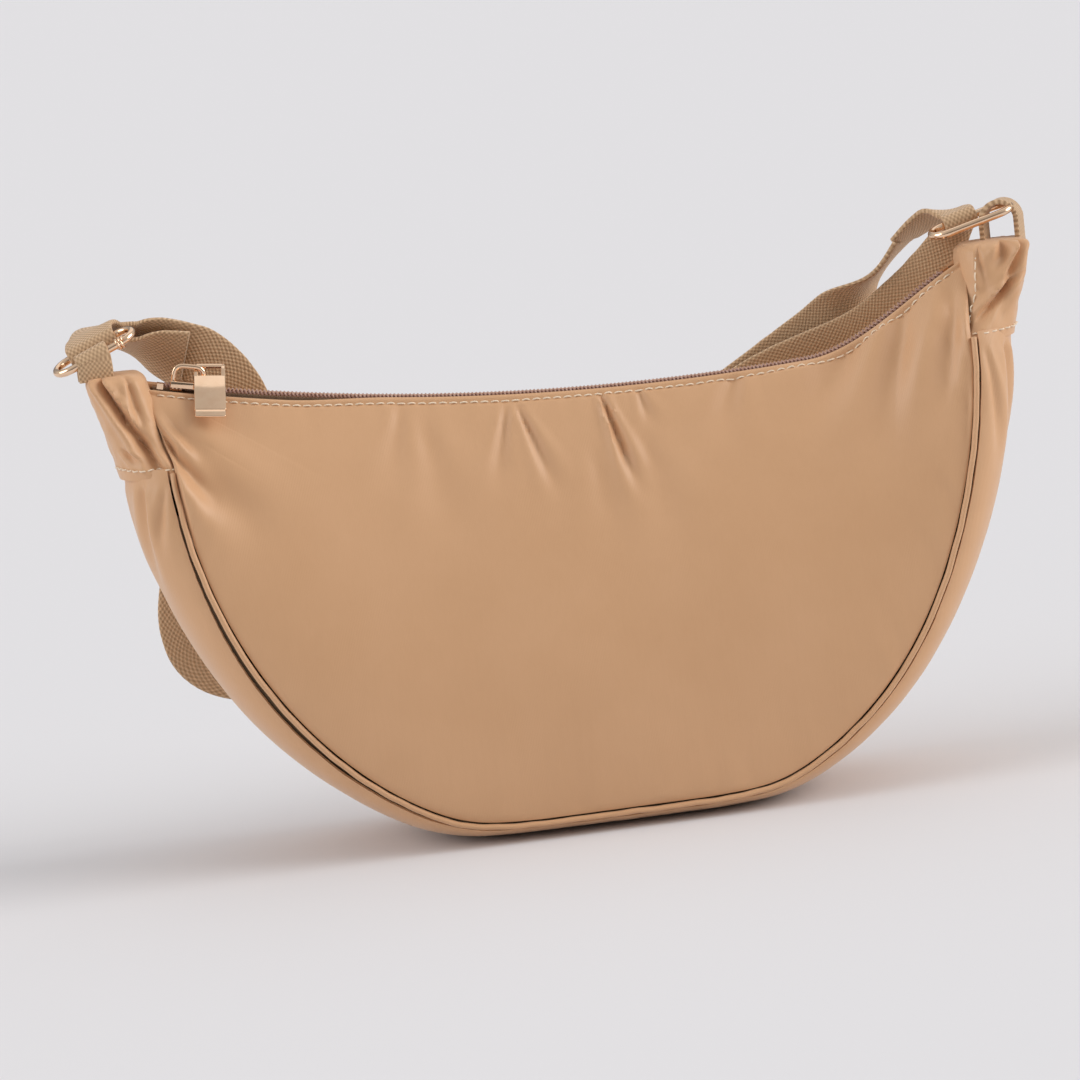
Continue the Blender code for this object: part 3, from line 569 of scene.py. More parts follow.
def makeGusset(v):
    firsts = {}

    def firstTurn(u):
        # where the cloth starts, just clear of the front seam
        if u not in firsts:
            seam, turn = seamPoint(u, -1), 0.0
            trim = v["seamTrim"] + v["gapGrow"] * math.exp(-((u - v["gapAt"]) / v["gapHalf"]) ** 2)
            while (gussetPoint(u, turn) - seam).length < trim:
                turn += v["trimStep"]
            firsts[u] = turn
        return firsts[u]

    def place(u, w):
        turn = firstTurn(u) + (math.pi - 2 * firstTurn(u)) * w
        p = gussetPoint(u, turn)
        out = Vector((p.x, 0, p.z - body["waistHeight"])).normalized() * math.sin(turn)
        out = (out + Vector((0, -math.cos(turn), 0)) * v["sideways"]).normalized()
        edge = math.exp(-min(turn, math.pi - turn) / v["reach"])
        pucker = softNoise(u * v["puckerRun"], 2 if w < 0.5 else 30, 0, v["puckerScale"])
        wave = softNoise(u * v["waveRun"], w * v["waveAround"], 5, v["waveScale"])
        lift = v["pucker"] * pucker * edge + v["wave"] * wave * math.sin(turn) ** 0.5
        crease = creaseDepth(u * v["run"], turn * v["around"], gussetCreases)
        lift -= crease * min(1, math.sin(turn) * v["edgeSlope"])
        p = p + out * lift * smoothStep((min(u, 1 - u) * v["run"] - v["covered"]) / v["covered"])
        p.z = max(p.z, 0)
        return framed(p)

    shell = makeCloth("gussetShell", v["columns"], v["rows"], place, v["thickness"], 1)
    keep(shell, "bag", nylon, "nylon", "gusset")


# Cloth finishes

clothValues = {
    "colour": (0.660, 0.383, 0.206), "shade": (0.576, 0.321, 0.164), "light": (0.729, 0.438, 0.253),
    "roughness": 0.42, "gloss": 0.35, "sheen": 0.25, "sheenSpread": 0.4, "sheenTint": (1, 0.9, 0.8, 1),
    "ribPitch": 0.55, "ribHeight": 0.05, "cloud": (26, 4, 0.55), "fineStretch": (900, 900, 60),
    "fine": (1.0, 2, 0.6), "plain": 0.5, "fineShade": 0.25, "ribShade": 0.12, "cloudRough": 0.16,
    "ribBump": 0.6, "fineBump": 0.8, "bump": 0.6}


def makeNylon(v):
    # each noise is given by its scale, detail and roughness
    f = Finish("nylonSatin", Roughness=v["roughness"], Sheen_Weight=v["sheen"],
               Sheen_Roughness=v["sheenSpread"], Specular_IOR_Level=v["gloss"], Sheen_Tint=v["sheenTint"])
    at = f.place()
    ribs = (f.parts(at)[0] * (2 * math.pi / (v["ribPitch"] * mm))).sine().raised()
    cloud = f.noise(at, *v["cloud"])
    fine = f.noise(f.stretched(at, v["fineStretch"]), *v["fine"])
    tone = f.mixColour(cloud, v["shade"], v["light"])
    tone = f.mixColour(v["plain"], tone, v["colour"])
    tone = f.mixColour((fine - 0.5) * v["fineShade"] + v["ribShade"] * ribs, tone, v["shade"])
    f.feed("Base Color", tone)
    f.feed("Roughness", v["roughness"] + (cloud - 0.5) * v["cloudRough"])
    f.bump(ribs * v["ribBump"] + fine * v["fineBump"], v["ribHeight"] * mm, v["bump"])
    return f.material


webbingValues = {
    # the crest colour is painted light on the weave's raised threads, the valley colour painted shade in the
    # hollows between them
    "colour": (0.690, 0.460, 0.270), "litCrest": (0.830, 0.580, 0.360), "shadedValley": (0.260, 0.145, 0.075),
    "roughness": 0.85, "gloss": 0.2, "sheen": 0.2, "pitch": 1.9, "rowPitch": 1.55, "height": 0.32,
    "fuzz": (1400, 2, 0.6), "cloud": (60, 2, 0.5), "fuzzShift": 1.2, "plain": 0.35, "cloudPlain": 0.5,
    "fuzzValley": 0.5, "valleyShare": 0.1, "cellBump": 0.8, "fuzzBump": 0.35, "bump": 0.9}


def makeWebbing(v):
    f = Finish("webbingWeave", Roughness=v["roughness"], Sheen_Weight=v["sheen"],
               Specular_IOR_Level=v["gloss"])
    along, across = f.parts(f.node("ShaderNodeAttribute", {"attribute_name": "weave"}, 1))[:2]
    fuzz = f.noise(f.place(), *v["fuzz"])
    cloud = f.noise(f.place(), *v["cloud"])
    lengthways = (along * (2 * math.pi / v["pitch"]) + (fuzz - 0.5) * v["fuzzShift"]).cosine()
    crossways = (across * (2 * math.pi / v["rowPitch"])).cosine()
    cell = (lengthways * crossways).raised()
    # painted light on the weave's raised crests and painted shade in its hollows, following the bump's
    # relief
    tone = f.mixColour(cell, v["shadedValley"], v["litCrest"])
    tone = f.mixColour(v["plain"] + (cloud - 0.5) * v["cloudPlain"], tone, v["colour"])
    # random fuzz, with an even share, pulls the tone a little further towards the painted shade colour
    tone = f.mixColour((fuzz - 0.5) * v["fuzzValley"] + v["valleyShare"], tone, v["shadedValley"])
    f.feed("Base Color", tone)
    f.bump(cell * v["cellBump"] + fuzz * v["fuzzBump"], v["height"] * mm, v["bump"])
    return f.material


goldValues = {
    "colour": (0.95, 0.70, 0.49), "deep": (0.78, 0.46, 0.28), "roughness": 0.10, "cloud": (220, 3, 0.6),
    "scratchStretch": (2600, 260, 2600), "scratch": (1.0, 2, 0.6), "deepShare": 0.6, "scratchRough": 0.10,
    "cloudRough": 0.06}


def makeGold(v):
    f = Finish("roseGoldPlate", Metallic=1.0, Roughness=v["roughness"])
    cloud = f.noise(f.place(), *v["cloud"])
    scratch = f.noise(f.stretched(f.place(), v["scratchStretch"]), *v["scratch"])
    f.feed("Base Color", f.mixColour(cloud * v["deepShare"], v["colour"], v["deep"]))
    rough = v["roughness"] + (scratch - 0.5) * v["scratchRough"] + (cloud - 0.5) * v["cloudRough"]
    f.feed("Roughness", rough)
    return f.material


coilValues = {
    "colour": (0.36, 0.19, 0.14), "light": (0.56, 0.35, 0.28), "roughness": 0.35, "cloud": (900, 2, 0.5),
    "cloudRough": 0.2}


def makeCoilFinish(v):
    f = Finish("coilNylon", Roughness=v["roughness"])
    cloud = f.noise(f.place(), *v["cloud"])
    f.feed("Base Color", f.mixColour(cloud, v["colour"], v["light"]))
    f.feed("Roughness", v["roughness"] + (cloud - 0.5) * v["cloudRough"])
    return f.material


wovenValues = {
    "tape": ((0.315, 0.205, 0.125), (0.22, 0.135, 0.08)),
    "lining": ((0.30, 0.21, 0.135), (0.21, 0.14, 0.085)), "threadPitch": 0.6, "roughness": 0.85,
    "gloss": 0.2, "cloud": (80, 3, 0.5), "gridShare": 0.6, "cloudShare": 0.5, "cloudRough": 0.1,
    "height": 0.08, "bump": 0.5}


def makeWovenCloth(name, colour, shade):
    v = wovenValues
    f = Finish(name, Roughness=v["roughness"], Specular_IOR_Level=v["gloss"])
    at = f.place()
    x, y, z = f.parts(at)
    turn = 2 * math.pi / (v["threadPitch"] * mm)
    grid = ((x * turn).sine() * (z * turn).sine()).raised()
    cloud = f.noise(at, *v["cloud"])
    # the weave grid's low points take the shade colour, painted shade in its hollows, mixed with a random
    # cloud
    tone = f.mixColour(grid * v["gridShare"] + (cloud - 0.5) * v["cloudShare"], shade, colour)
    f.feed("Base Color", tone)
    f.feed("Roughness", v["roughness"] + (cloud - 0.5) * v["cloudRough"])
    f.bump(grid, v["height"] * mm, v["bump"])
    return f.material


threadValues = {
    "colour": (0.95, 0.79, 0.60), "shade": (0.72, 0.55, 0.38), "ply": 0.5, "roughness": 0.5, "sheen": 0.3,
    "shadeShare": 0.7, "height": 0.05, "bump": 0.6}


def makeThreadFinish(v):
    f = Finish("stitchThread", Roughness=v["roughness"], Sheen_Weight=v["sheen"])
    x, y, z = f.parts(f.place())
    twist = ((x + z) * (2 * math.pi / (v["ply"] * mm))).sine().raised()
    f.feed("Base Color", f.mixColour(twist * v["shadeShare"], v["colour"], v["shade"]))
    f.bump(twist, v["height"] * mm, v["bump"])
    return f.material


nylon = makeNylon(clothValues)
webbing = makeWebbing(webbingValues)
gold = makeGold(goldValues)
coilNylon = makeCoilFinish(coilValues)
tapeCloth = makeWovenCloth("zipTape", *wovenValues["tape"])
liningCloth = makeWovenCloth("liningCloth", *wovenValues["lining"])
thread = makeThreadFinish(threadValues)
print("materials made")

makePanels(panelValues)
makeGusset(gussetValues)
print("body cloth made")


# Tubes and bands along a line

def weld(obj):
    editMesh(obj, lambda: bpy.ops.mesh.remove_doubles(threshold=0.01 * mm), faceOutwards)


def carryUp(line, first, closed):
    # the tube's side and up directions, carried along without twisting
    count = len(line)
    sides, ups, up = [], [], first
    for i in range(count):
        before = line[(i - 1) % count if closed else max(i - 1, 0)]
        after = line[(i + 1) % count if closed else min(i + 1, count - 1)]
        along = (after - before).normalized()
        side = along.cross(up).normalized()
        up = side.cross(along).normalized()
        sides.append(side)
        ups.append(up)
    return sides, ups


def makeTube(name, line, radius, up, around, closed=False, flat=1.0):
    # line and radius are in metres; flat is the section's width for its height
    sides, ups = carryUp(line, up, closed)
    order = list(range(len(line)))
    order = order + [0] if closed else [0] + order + [len(line) - 1]
    last = len(order) - 1

    def place(u, w):
        i = round(u * last)
        size = 0 if not closed and i in (0, last) else radius
        turn = 2 * math.pi * w
        k = order[i]
        return line[k] + (sides[k] * math.cos(turn) * flat + ups[k] * math.sin(turn)) * size

    tube = makeGrid(name, last + 1, around + 1, place)
    weld(tube)
    smoothShade(tube, hardAngle)
    return tube


bandValues = {
    "thickness": 1.8, "edgeWave": 0.12, "waveScale": 4,
    "underside": [
        (-1, -0.5), (-0.97, -0.85), (-0.9, -1), (-0.45, -1), (0, -1), (0.45, -1), (0.9, -1), (0.97, -0.85),
        (1, -0.5)]}


def makeBand(name, rows):
    # webbing along rows of centre, width direction and width, all in bag millimetres
    underside = bandValues["underside"]
    section = underside + [(-a, -b) for a, b in underside]
    centres = [Vector(row[:3]) for row in rows]
    last = len(rows) - 1
    sides, ups, runs, run = [], [], [], 0
    for i, row in enumerate(rows):
        along = (centres[min(i + 1, last)] - centres[max(i - 1, 0)]).normalized()
        side = Vector(row[3:6])
        side = (side - along * side.dot(along)).normalized()
        sides.append(side)
        ups.append(along.cross(side))
        run += (centres[i] - centres[i - 1]).length if i else 0
        runs.append(run)
    order = [0] + list(range(len(rows))) + [last]
    final = len(order) - 1
    ring = len(section)
    weave = []

    def place(u, w):
        i = round(u * final)
        k = order[i]
        a, b = section[round(w * ring) % ring]
        wave = softNoise(runs[k], a, 0, bandValues["waveScale"])
        half = rows[k][6] / 2 + bandValues["edgeWave"] * wave
        weave.append((runs[k], a * half, b))
        closing = 0 if i in (0, final) else 1
        across = sides[k] * a * half * closing
        return framed(centres[k] + across + ups[k] * b * bandValues["thickness"] / 2 * closing)

    band = makeGrid(name, final + 1, ring + 1, place)
    layer = band.data.attributes.new("weave", "FLOAT_VECTOR", "POINT")
    for item, value in zip(layer.data, weave):
        item.vector = value
    weld(band)
    smoothShade(band, hardAngle)
    return band


def smoothLine(points, step):
    # a smooth curve through rows of numbers, resampled about every step
    out = []
    last = len(points) - 1
    for i in range(last):
        p0, p1 = points[max(i - 1, 0)], points[i]
        p2, p3 = points[i + 1], points[min(i + 2, last)]
        count = max(1, round((Vector(p1[:3]) - Vector(p2[:3])).length / step))
        for k in range(count):
            t = k / count
            out.append([0.5 * (2 * b + (c - a) * t + (2 * a - 5 * b + 4 * c - d) * t * t
                               + (3 * b - a - 3 * c + d) * t ** 3)
                        for a, b, c, d in zip(p0, p1, p2, p3)])
    out.append(list(points[-1]))
    return out


# Piping along both seams

pipingValues = {
    "radius": 1.25, "flat": 0.8, "steps": 360, "wave": 0.25, "waveScale": 6, "sideways": 30,
    "endShare": 0.004, "around": 10}


def makePiping(v):
    for side, name in twoSides:
        line = []
        for i in range(v["steps"] + 1):
            share = v["endShare"] + (1 - 2 * v["endShare"]) * i / v["steps"]
            p = seamPoint(share, side)
            away = Vector((p.x, side * v["sideways"], p.z - body["waistHeight"])).normalized()
            line.append(framed(p + away * v["wave"] * softNoise(i, side, 0, v["waveScale"])))
        up = Vector((0, side, 0))
        tube = makeTube(name + "PipingCord", line, v["radius"] * mm, up, v["around"], False, v["flat"])
        keep(tube, "bag", nylon, "nylon", name + "_piping")


makePiping(pipingValues)


# Zip: tapes, spiral coils and linings

zipValues = {
    "tapeColumns": 201, "tapeRows": 13, "tapeEnd": 0.014, "tapeFold": 0.35, "nearHem": 0.004,
    "tapeDepth": 1.7, "tapeUnder": 9, "mostUnder": 0.6, "tapeInner": 0.6, "tapeThick": 0.5,
    "coilFirst": -139, "coilLast": 135, "coilPitch": 1.35, "coilHalfWidth": 0.93, "coilHalfHeight": 0.88,
    "coilShare": 0.72, "coilSink": 0.1, "coilCentre": 1.45, "wire": 0.32, "wireSides": 6, "turnSteps": 10}
liningValues = {
    "columns": 101, "rows": 31, "end": 0.035, "top": 0.03, "span": 0.92, "depth": 2.9, "thick": 0.6,
    "flat": (0.290, 0.158), "area": 0.0335, "gussetColumns": 121, "gussetRows": 17, "gussetTurn": 0.25,
    "gussetLean": 0.3, "gussetShare": 1.1, "gussetFlat": (0.450, 0.082), "gussetArea": 0.0308}


def makeTapes(v):
    for side, name in twoSides:
        def place(u, w):
            share = v["tapeEnd"] + (1 - 2 * v["tapeEnd"]) * u
            top = zipPoint(share)
            inner = Vector((top.x, side * v["tapeInner"], top.z - v["tapeDepth"]))
            if w < v["tapeFold"]:
                hem = panelSurface(share, v["nearHem"], side, v["tapeDepth"])
                return framed(inner.lerp(hem, w / v["tapeFold"]))
            under = min(v["tapeUnder"] / (top - panelBorder(share, side)).length, v["mostUnder"])
            reach = under * (w - v["tapeFold"]) / (1 - v["tapeFold"])
            return framed(panelSurface(share, max(reach, v["nearHem"]), side, v["tapeDepth"]))

        tape = makeCloth(name + "Tape", v["tapeColumns"], v["tapeRows"], place, v["tapeThick"], -side)
        keep(tape, "bag", tapeCloth, "tape_cloth", name + "_zip_tape")


def makeCoils(v):
    count = round((v["coilLast"] - v["coilFirst"]) / v["coilPitch"]) * v["turnSteps"]
    for side, name in twoSides:
        line = []
        for n in range(count + 1):
            angle = 2 * math.pi * n / v["turnSteps"]
            x = v["coilFirst"] + (v["coilLast"] - v["coilFirst"]) * n / count
            slope = (zipHeight(x + 1) - zipHeight(x - 1)) / 2
            up = Vector((-slope, 0, 1)).normalized()
            across = v["coilCentre"] - v["coilHalfWidth"] * v["coilShare"] * math.cos(angle)
            rise = v["coilHalfHeight"] * v["coilShare"] * math.sin(angle) - v["coilSink"]
            line.append(framed(Vector((x, side * across, zipHeight(x))) + up * rise))
        coil = makeTube(name + "Coil", line, v["wire"] * mm, Vector((0, 0, 1)), v["wireSides"])
        keep(coil, "bag", coilNylon, "coil_nylon", name + "_zip_coil")


def makeLinings(v):
    for side, name in twoSides:
        def place(u, w):
            share = v["end"] + (1 - 2 * v["end"]) * u
            return framed(panelSurface(share, v["top"] + v["span"] * w, side, v["depth"]))

        lining = makeCloth(name + "Lining", v["columns"], v["rows"], place, v["thick"], 0)
        keep(lining, "bag", liningCloth, "lining_cloth", name + "_lining")

    def within(u, w):
        share = v["end"] + (1 - 2 * v["end"]) * u
        p = gussetPoint(share, v["gussetTurn"] + (math.pi - 2 * v["gussetTurn"]) * w)
        centre = Vector((p.x * v["gussetLean"], 0, body["waistHeight"]))
        return framed(p + (centre - p).normalized() * v["depth"] * v["gussetShare"])

    lining = makeCloth("gussetLiningShell", v["gussetColumns"], v["gussetRows"], within, v["thick"], 0)
    keep(lining, "bag", liningCloth, "lining_cloth", "gusset_lining")


makeTapes(zipValues)
makeCoils(zipValues)
makeLinings(liningValues)
print("zip and linings made")


# Rings, with the small wire turned round the left one

ringValues = {
    "length": 32, "width": 13.7, "wire": 2.7, "around": 14, "turns": 20,
    "left": ((-161.3, 2.0, 183.4), 22, 14), "right": ((147.9, 4.0, 190.9), 14, 8), "hookAlong": 8.2,
    "hookWire": 0.5, "hookLift": 0.9, "hookTurns": 2.4, "hookPitch": 1.15, "hookSteps": 40, "hookAround": 8}


def ringAxes(riseDeg, backDeg):
    # a ring's long, short and upright directions, from its rise to the right and its lean back
    rise, back = math.radians(riseDeg), math.radians(backDeg)
    longWay = Vector((math.cos(rise), 0, math.sin(rise)))
    flat = Vector((0, math.cos(back), math.sin(back)))
    shortWay = (flat - longWay * flat.dot(longWay)).normalized()
    return longWay, shortWay, longWay.cross(shortWay).normalized()


def makeHook(v, centre, radius, longWay, shortWay, normal):
    # the thin wire turned round the ring's front bar
    bar = Vector(centre) - shortWay * radius + longWay * v["hookAlong"]
    reach = v["wire"] / 2 + v["hookWire"] * v["hookLift"]
    line = []
    for k in range(v["hookSteps"] + 1):
        turns = v["hookTurns"] * k / v["hookSteps"]
        a = 2 * math.pi * turns
        out = shortWay * math.cos(a) + normal * math.sin(a)
        line.append(framed(bar + longWay * v["hookPitch"] * turns + out * reach))
    return makeTube("hookWire", line, v["hookWire"] * mm, longWay, v["hookAround"])


def makeRings(v):
    radius = (v["width"] - v["wire"]) / 2
    straight = (v["length"] - v["width"]) / 2
    for key in ("left", "right"):
        centre, rise, back = v[key]
        longWay, shortWay, normal = ringAxes(rise, back)
        line = []
        for end in (1, -1):
            for k in range(v["turns"] + 1):
                a = end * (math.pi * k / v["turns"] - math.pi / 2)
                a = a if end > 0 else math.pi - a
                out = longWay * math.cos(a) + shortWay * math.sin(a)
                line.append(framed(Vector(centre) + longWay * straight * end + out * radius))
        ring = makeTube(key + "RingWire", line, v["wire"] / 2 * mm, normal, v["around"], True)
        if key == "left":
            hook = makeHook(v, centre, radius, longWay, shortWay, normal)
            ring = joinInto("leftRingWire", [ring, hook])
        keep(ring, key + "_ring", gold, "rose_gold", key + "_ring")


makeRings(ringValues)


# Webbing: the strap by its route, and the two keepers

leftTail = [
    (-131, 22.5, 174, 0, 0.3, -0.95, 24), (-140, 25, 178, 0, 0.6, -0.8, 22),
    (-149, 25.5, 182, -0.1, 0.95, -0.3, 20), (-157.5, 21.5, 184, -0.6, 0.75, -0.1, 18)]
strapRun = [
    (-162.3, 13, 188.8, -0.92, 0.05, -0.38, 18), (-158.5, 22.5, 189.5, -0.6, 0.75, -0.1, 19),
    (-149.5, 28.5, 187.5, -0.1, 0.95, -0.3, 21), (-140, 28.5, 182.5, 0, 0.6, -0.8, 23),
    (-131, 26.5, 176.5, 0, 0.25, -0.97, 25), (-123, 26.5, 169.5, -0.5, 0, -0.87, 25),
    (-117, 27, 160.5, -0.8, 0, -0.6, 25), (-114, 28.5, 149, -0.98, 0, -0.15, 25),
    (-115.5, 31, 135, -0.98, 0, 0.15, 25), (-121, 34, 120, -0.93, 0, 0.35, 25),
    (-130, 37, 105, -0.88, 0, 0.45, 25), (-137.5, 40, 91, -0.93, -0.05, 0.3, 25),
    (-139.5, 43, 77, -0.97, -0.05, -0.2, 25), (-136, 45.5, 66, -0.75, 0, -0.65, 25),
    (-126, 46.5, 60, -0.25, 0, -0.97, 25), (-112, 45.5, 59.5, 0, 0.05, -1, 25),
    (-85, 42.5, 64, 0.15, 0.05, -0.98, 25), (-55, 40, 74, 0.3, 0.15, -0.94, 25),
    (-30, 38, 86, 0.42, 0.27, -0.87, 25)]
strapRise = [
    (40, 37, 120.5, 0.43, 0.2, -0.87, 25), (60, 36.5, 132, 0.45, 0.15, -0.87, 25),
    (80, 36, 143.5, 0.48, 0.1, -0.87, 25), (100, 35, 155.5, 0.52, 0, -0.85, 25),
    (117, 34, 172.5, 0.15, 0.95, -0.27, 24), (128, 31, 184.5, 0.2, 0.92, -0.3, 20)]
strapHump = [(138, 22.5, 192.5, 0.6, 0.7, -0.35, 15), (143.8, 13.5, 193.6, 0.97, 0, 0.2, 12)]
rightTail = [
    (145.2, 14.3, 187.3, 0.97, 0, 0.22, 12), (142, 18.3, 183, 0.9, -0.1, -0.15, 14),
    (136, 20.5, 174, 0.72, -0.25, -0.6, 18), (126, 23.5, 162.5, 0.5, -0.15, -0.85, 22),
    (109, 26, 150.5, 0.4, 0, -0.92, 24), (75, 31.3, 138.5, 0.42, 0.1, -0.9, 25),
    (45, 32.5, 123.5, 0.43, 0.25, -0.87, 25)]
overAdjuster = [
    (-11.6, -2.55), (-8.2, -2.4), (-6.2, -0.8), (-5.0, 1.9), (-3.2, 4.6), (0, 5.8), (3.2, 4.6), (5.0, 1.9),
    (6.2, -0.8), (8.2, -2.4), (11.6, -2.55)]
underAdjuster = [(16, -4.85), (11, -4.85), (7.5, -4.8), (4, -4.1)]
strapValues = {
    "step": 1.6, "fineStep": 0.7, "wrapRadius": 2.7, "leftWrap": (5.5, 0, 18, -1, -90, -270, 14),
    "rightWrap": (5.5, -2.9, 12, 1, 90, 270, 14), "bendFrom": (-122, 0, 160), "bendTo": (-152, 0, 182),
    "width": 25, "adjusterCentre": (0, 35, 100), "adjusterRise": 27, "adjusterLean": 18, "restSpan": 16,
    "loopRadius": 3.05, "loopTurns": 16, "loopShare": 0.75}
keeperValues = {
    "step": 0.8, "left": (-5.5, -1, 12, 1, 0, 180, 12), "leftFoot": 174, "footLean": (0.97, 0, 0.2),
    "right": (158.6, 190, 6.2, 8, 27), "rightTurns": 16, "rightFoot": 180}


def adjusterPlace():
    rise = Matrix.Rotation(-math.radians(strapValues["adjusterRise"]), 4, "Y")
    upright = Matrix.Rotation(math.pi / 2 + math.radians(strapValues["adjusterLean"]), 4, "X")
    return Matrix.Translation(strapValues["adjusterCentre"]) @ rise @ upright


def adjusterStation(along, out):
    # a row of the strap, placed along the adjuster and out of its plane
    place = adjusterPlace()
    return [*(place @ Vector((along, 0, -out))), *(-place.col[1].to_3d()), strapValues["width"]]


def wrapRows(key, offset, shift, width, sense, first, last, steps):
    # rows of webbing round a ring's bar, from one angle to another
    centre, rise, back = ringValues[key]
    longWay, shortWay, normal = ringAxes(rise, back)
    bar = Vector(centre) + shortWay * offset + longWay * shift
    rows = []
    for k in range(steps + 1):
        a = math.radians(first + (last - first) * k / steps)
        p = bar + (shortWay * math.cos(a) + normal * math.sin(a)) * strapValues["wrapRadius"]
        rows.append([*p, *(longWay * sense), width])
    return rows


def makeStrap(v):
    left = wrapRows("left", *v["leftWrap"])
    right = wrapRows("right", *v["rightWrap"])
    step, fine = v["step"], v["fineStep"]
    rows = smoothLine(leftTail + left[:1], step)[:-1] + left
    ends = [adjusterStation(side * v["restSpan"], overAdjuster[0][1]) for side in (-1, 1)]
    rows += smoothLine(left[-1:] + strapRun + ends[:1], step)[1:-1]
    rows += smoothLine(ends[:1] + [adjusterStation(*p) for p in overAdjuster] + ends[1:], fine)[:-1]
    rise = smoothLine(ends[1:] + strapRise, step)
    rows += rise[:-1]
    rows += smoothLine(rise[-1:] + strapHump + right[:1], step)[:-1] + right
    under = [adjusterStation(*p) for p in underAdjuster]
    rows += smoothLine(right[-1:] + rightTail + under[:1], step)[1:-1]
    loop = []
    for k in range(v["loopTurns"] + 1):
        a = -math.pi / 2 - 2 * math.pi * v["loopShare"] * k / v["loopTurns"]
        loop.append(adjusterStation(v["loopRadius"] * math.cos(a), v["loopRadius"] * math.sin(a)))
    rows += smoothLine(under + loop, fine)
    strap = makeBand("strapWebbing", rows)
    bend = ("bag", "left_ring", framed(Vector(v["bendFrom"])), framed(Vector(v["bendTo"])))
    keep(strap, bend, webbing, "webbing_cotton", "shoulder_strap")


def addKeeper(key, rows):
    band = makeBand(key + "KeeperWebbing", smoothLine(rows, keeperValues["step"]))
    keep(band, "bag", webbing, "webbing_cotton", key + "_keeper")


def makeLeftKeeper(v):
    rows = wrapRows("left", *v["left"])
    for end in (0, -1):
        low, width = Vector(rows[end][:3]), rows[end][-1]
        middle = Vector((low.x, low.y, (low.z + v["leftFoot"]) / 2))
        low.z = v["leftFoot"]
        near = [*middle, *v["footLean"], width]
        foot = [*low, 1, 0, 0, width]
        rows = [foot, near] + rows if end == 0 else rows + [near, foot]
    addKeeper("left", rows)


def makeRightKeeper(v):
    x, z, radius, width, turned = v["right"]
    y = ringValues["right"][0][1]
    across = (math.sin(math.radians(turned)), math.cos(math.radians(turned)), 0)
    rows = [[x - radius, y, v["rightFoot"], *across, width]]
    for k in range(v["rightTurns"] + 1):
        a = math.pi - math.pi * k / v["rightTurns"]
        rows.append([x + math.cos(a) * radius, y, z + math.sin(a) * radius, *across, width])
    rows.append([x + radius, y, v["rightFoot"], *across, width])
    addKeeper("right", rows)


makeStrap(strapValues)
makeLeftKeeper(keeperValues)
makeRightKeeper(keeperValues)
print("webbing made")


# Tabs, gathered and folded cloth

tabValues = {
    "columns": 129, "rows": 65, "bulges": (0.2, 2.8, 6.2, 8.8), "shares": (0, 0.35, 0.7, 1), "depth": 15.6,
    "topPinch": 0.3, "square": 0.66, "squareFrom": 0.55, "wave": 0.5, "waveScale": 9, "pucker": 0.35,
    "puckerScale": 4, "skirt": 4.0, "outset": 1.0, "wallShift": -1.4, "footTrim": 1.0, "flareShare": 0.4,
    "hemShare": 0.03, "hemTuck": 1.2, "closeShare": 0.10, "closeLow": 0.6, "footRise": 3, "frontFrom": 0.2,
    "frontSlope": 1.6, "backShare": 0.6, "calmShare": 0.15, "fill": 0.45}
leftTabFolds = [
    # upper end x and z, lower end x and z, depth, half width
    (-162, 176, -137, 129, 4.6, 1.5), (-151, 172, -146, 142, 1.6, 1.6), (-166, 168, -158, 152, 0.9, 2.0),
    (-154, 149, -147, 143, 1.6, 1.4)]
rightTabFolds = [
    (162.5, 184, 150, 159.7, 3.0, 1.4), (155.5, 169, 138, 154, 2.8, 1.3), (157, 187, 153.5, 175, 4.4, 1.9),
    (146.5, 182, 147.5, 166, 1.0, 1.0)]
tabFolds = {-1: (175.5, leftTabFolds, 7), 1: (184, rightTabFolds, 50)}  # top, folds, start of the noise


def tabSpan(side, share, top):
    # the tab's inner and outer x at a height share, both unsigned, and its z
    v = tabValues
    foot = seamPoint(0 if side < 0 else 1, -1).z - v["skirt"]
    z = foot + (top - foot) * share
    end = zipPoint(0 if side < 0 else 1)
    slope = (end.x - side * body["seamHalfWidth"]) / (end.z - foot)
    wall = abs(side * (body["seamHalfWidth"] + v["wallShift"]) + slope * (z - foot))
    for i in range(3):
        low, high = v["shares"][i], v["shares"][i + 1]
        if share <= high:
            t = (share - low) / (high - low)
            bulge = v["bulges"][i] + (v["bulges"][i + 1] - v["bulges"][i]) * t
            break
    return wall, body["bellyHalfWidth"] + bulge, z


def tabSection(side, share, top, a):
    # a point of the tab's plain form, and its outward direction
    v = tabValues
    inner, outer, z = tabSpan(side, share, top)
    deep = v["depth"] * (1 - v["topPinch"] * share * share)
    foot = abs(seamPoint(0 if side < 0 else 1, side).y) - v["footTrim"]
    deep += (foot - deep) * (1 - smoothStep(share / v["flareShare"]))
    c, s = math.cos(a), math.sin(a)
    outward = c * side
    roundX = 2 * max(outward, 0) - 1
    boxX = math.copysign(abs(outward) ** v["square"], outward)
    boxY = math.copysign(abs(s) ** v["square"], s)
    share = smoothStep(share / v["squareFrom"])
    x = roundX + (boxX - roundX) * share
    y = s + (boxY - s) * share
    half = (outer - inner) / 2
    return Vector((side * ((inner + outer) / 2 + x * half), y * deep, z)), Vector((c, s, 0))


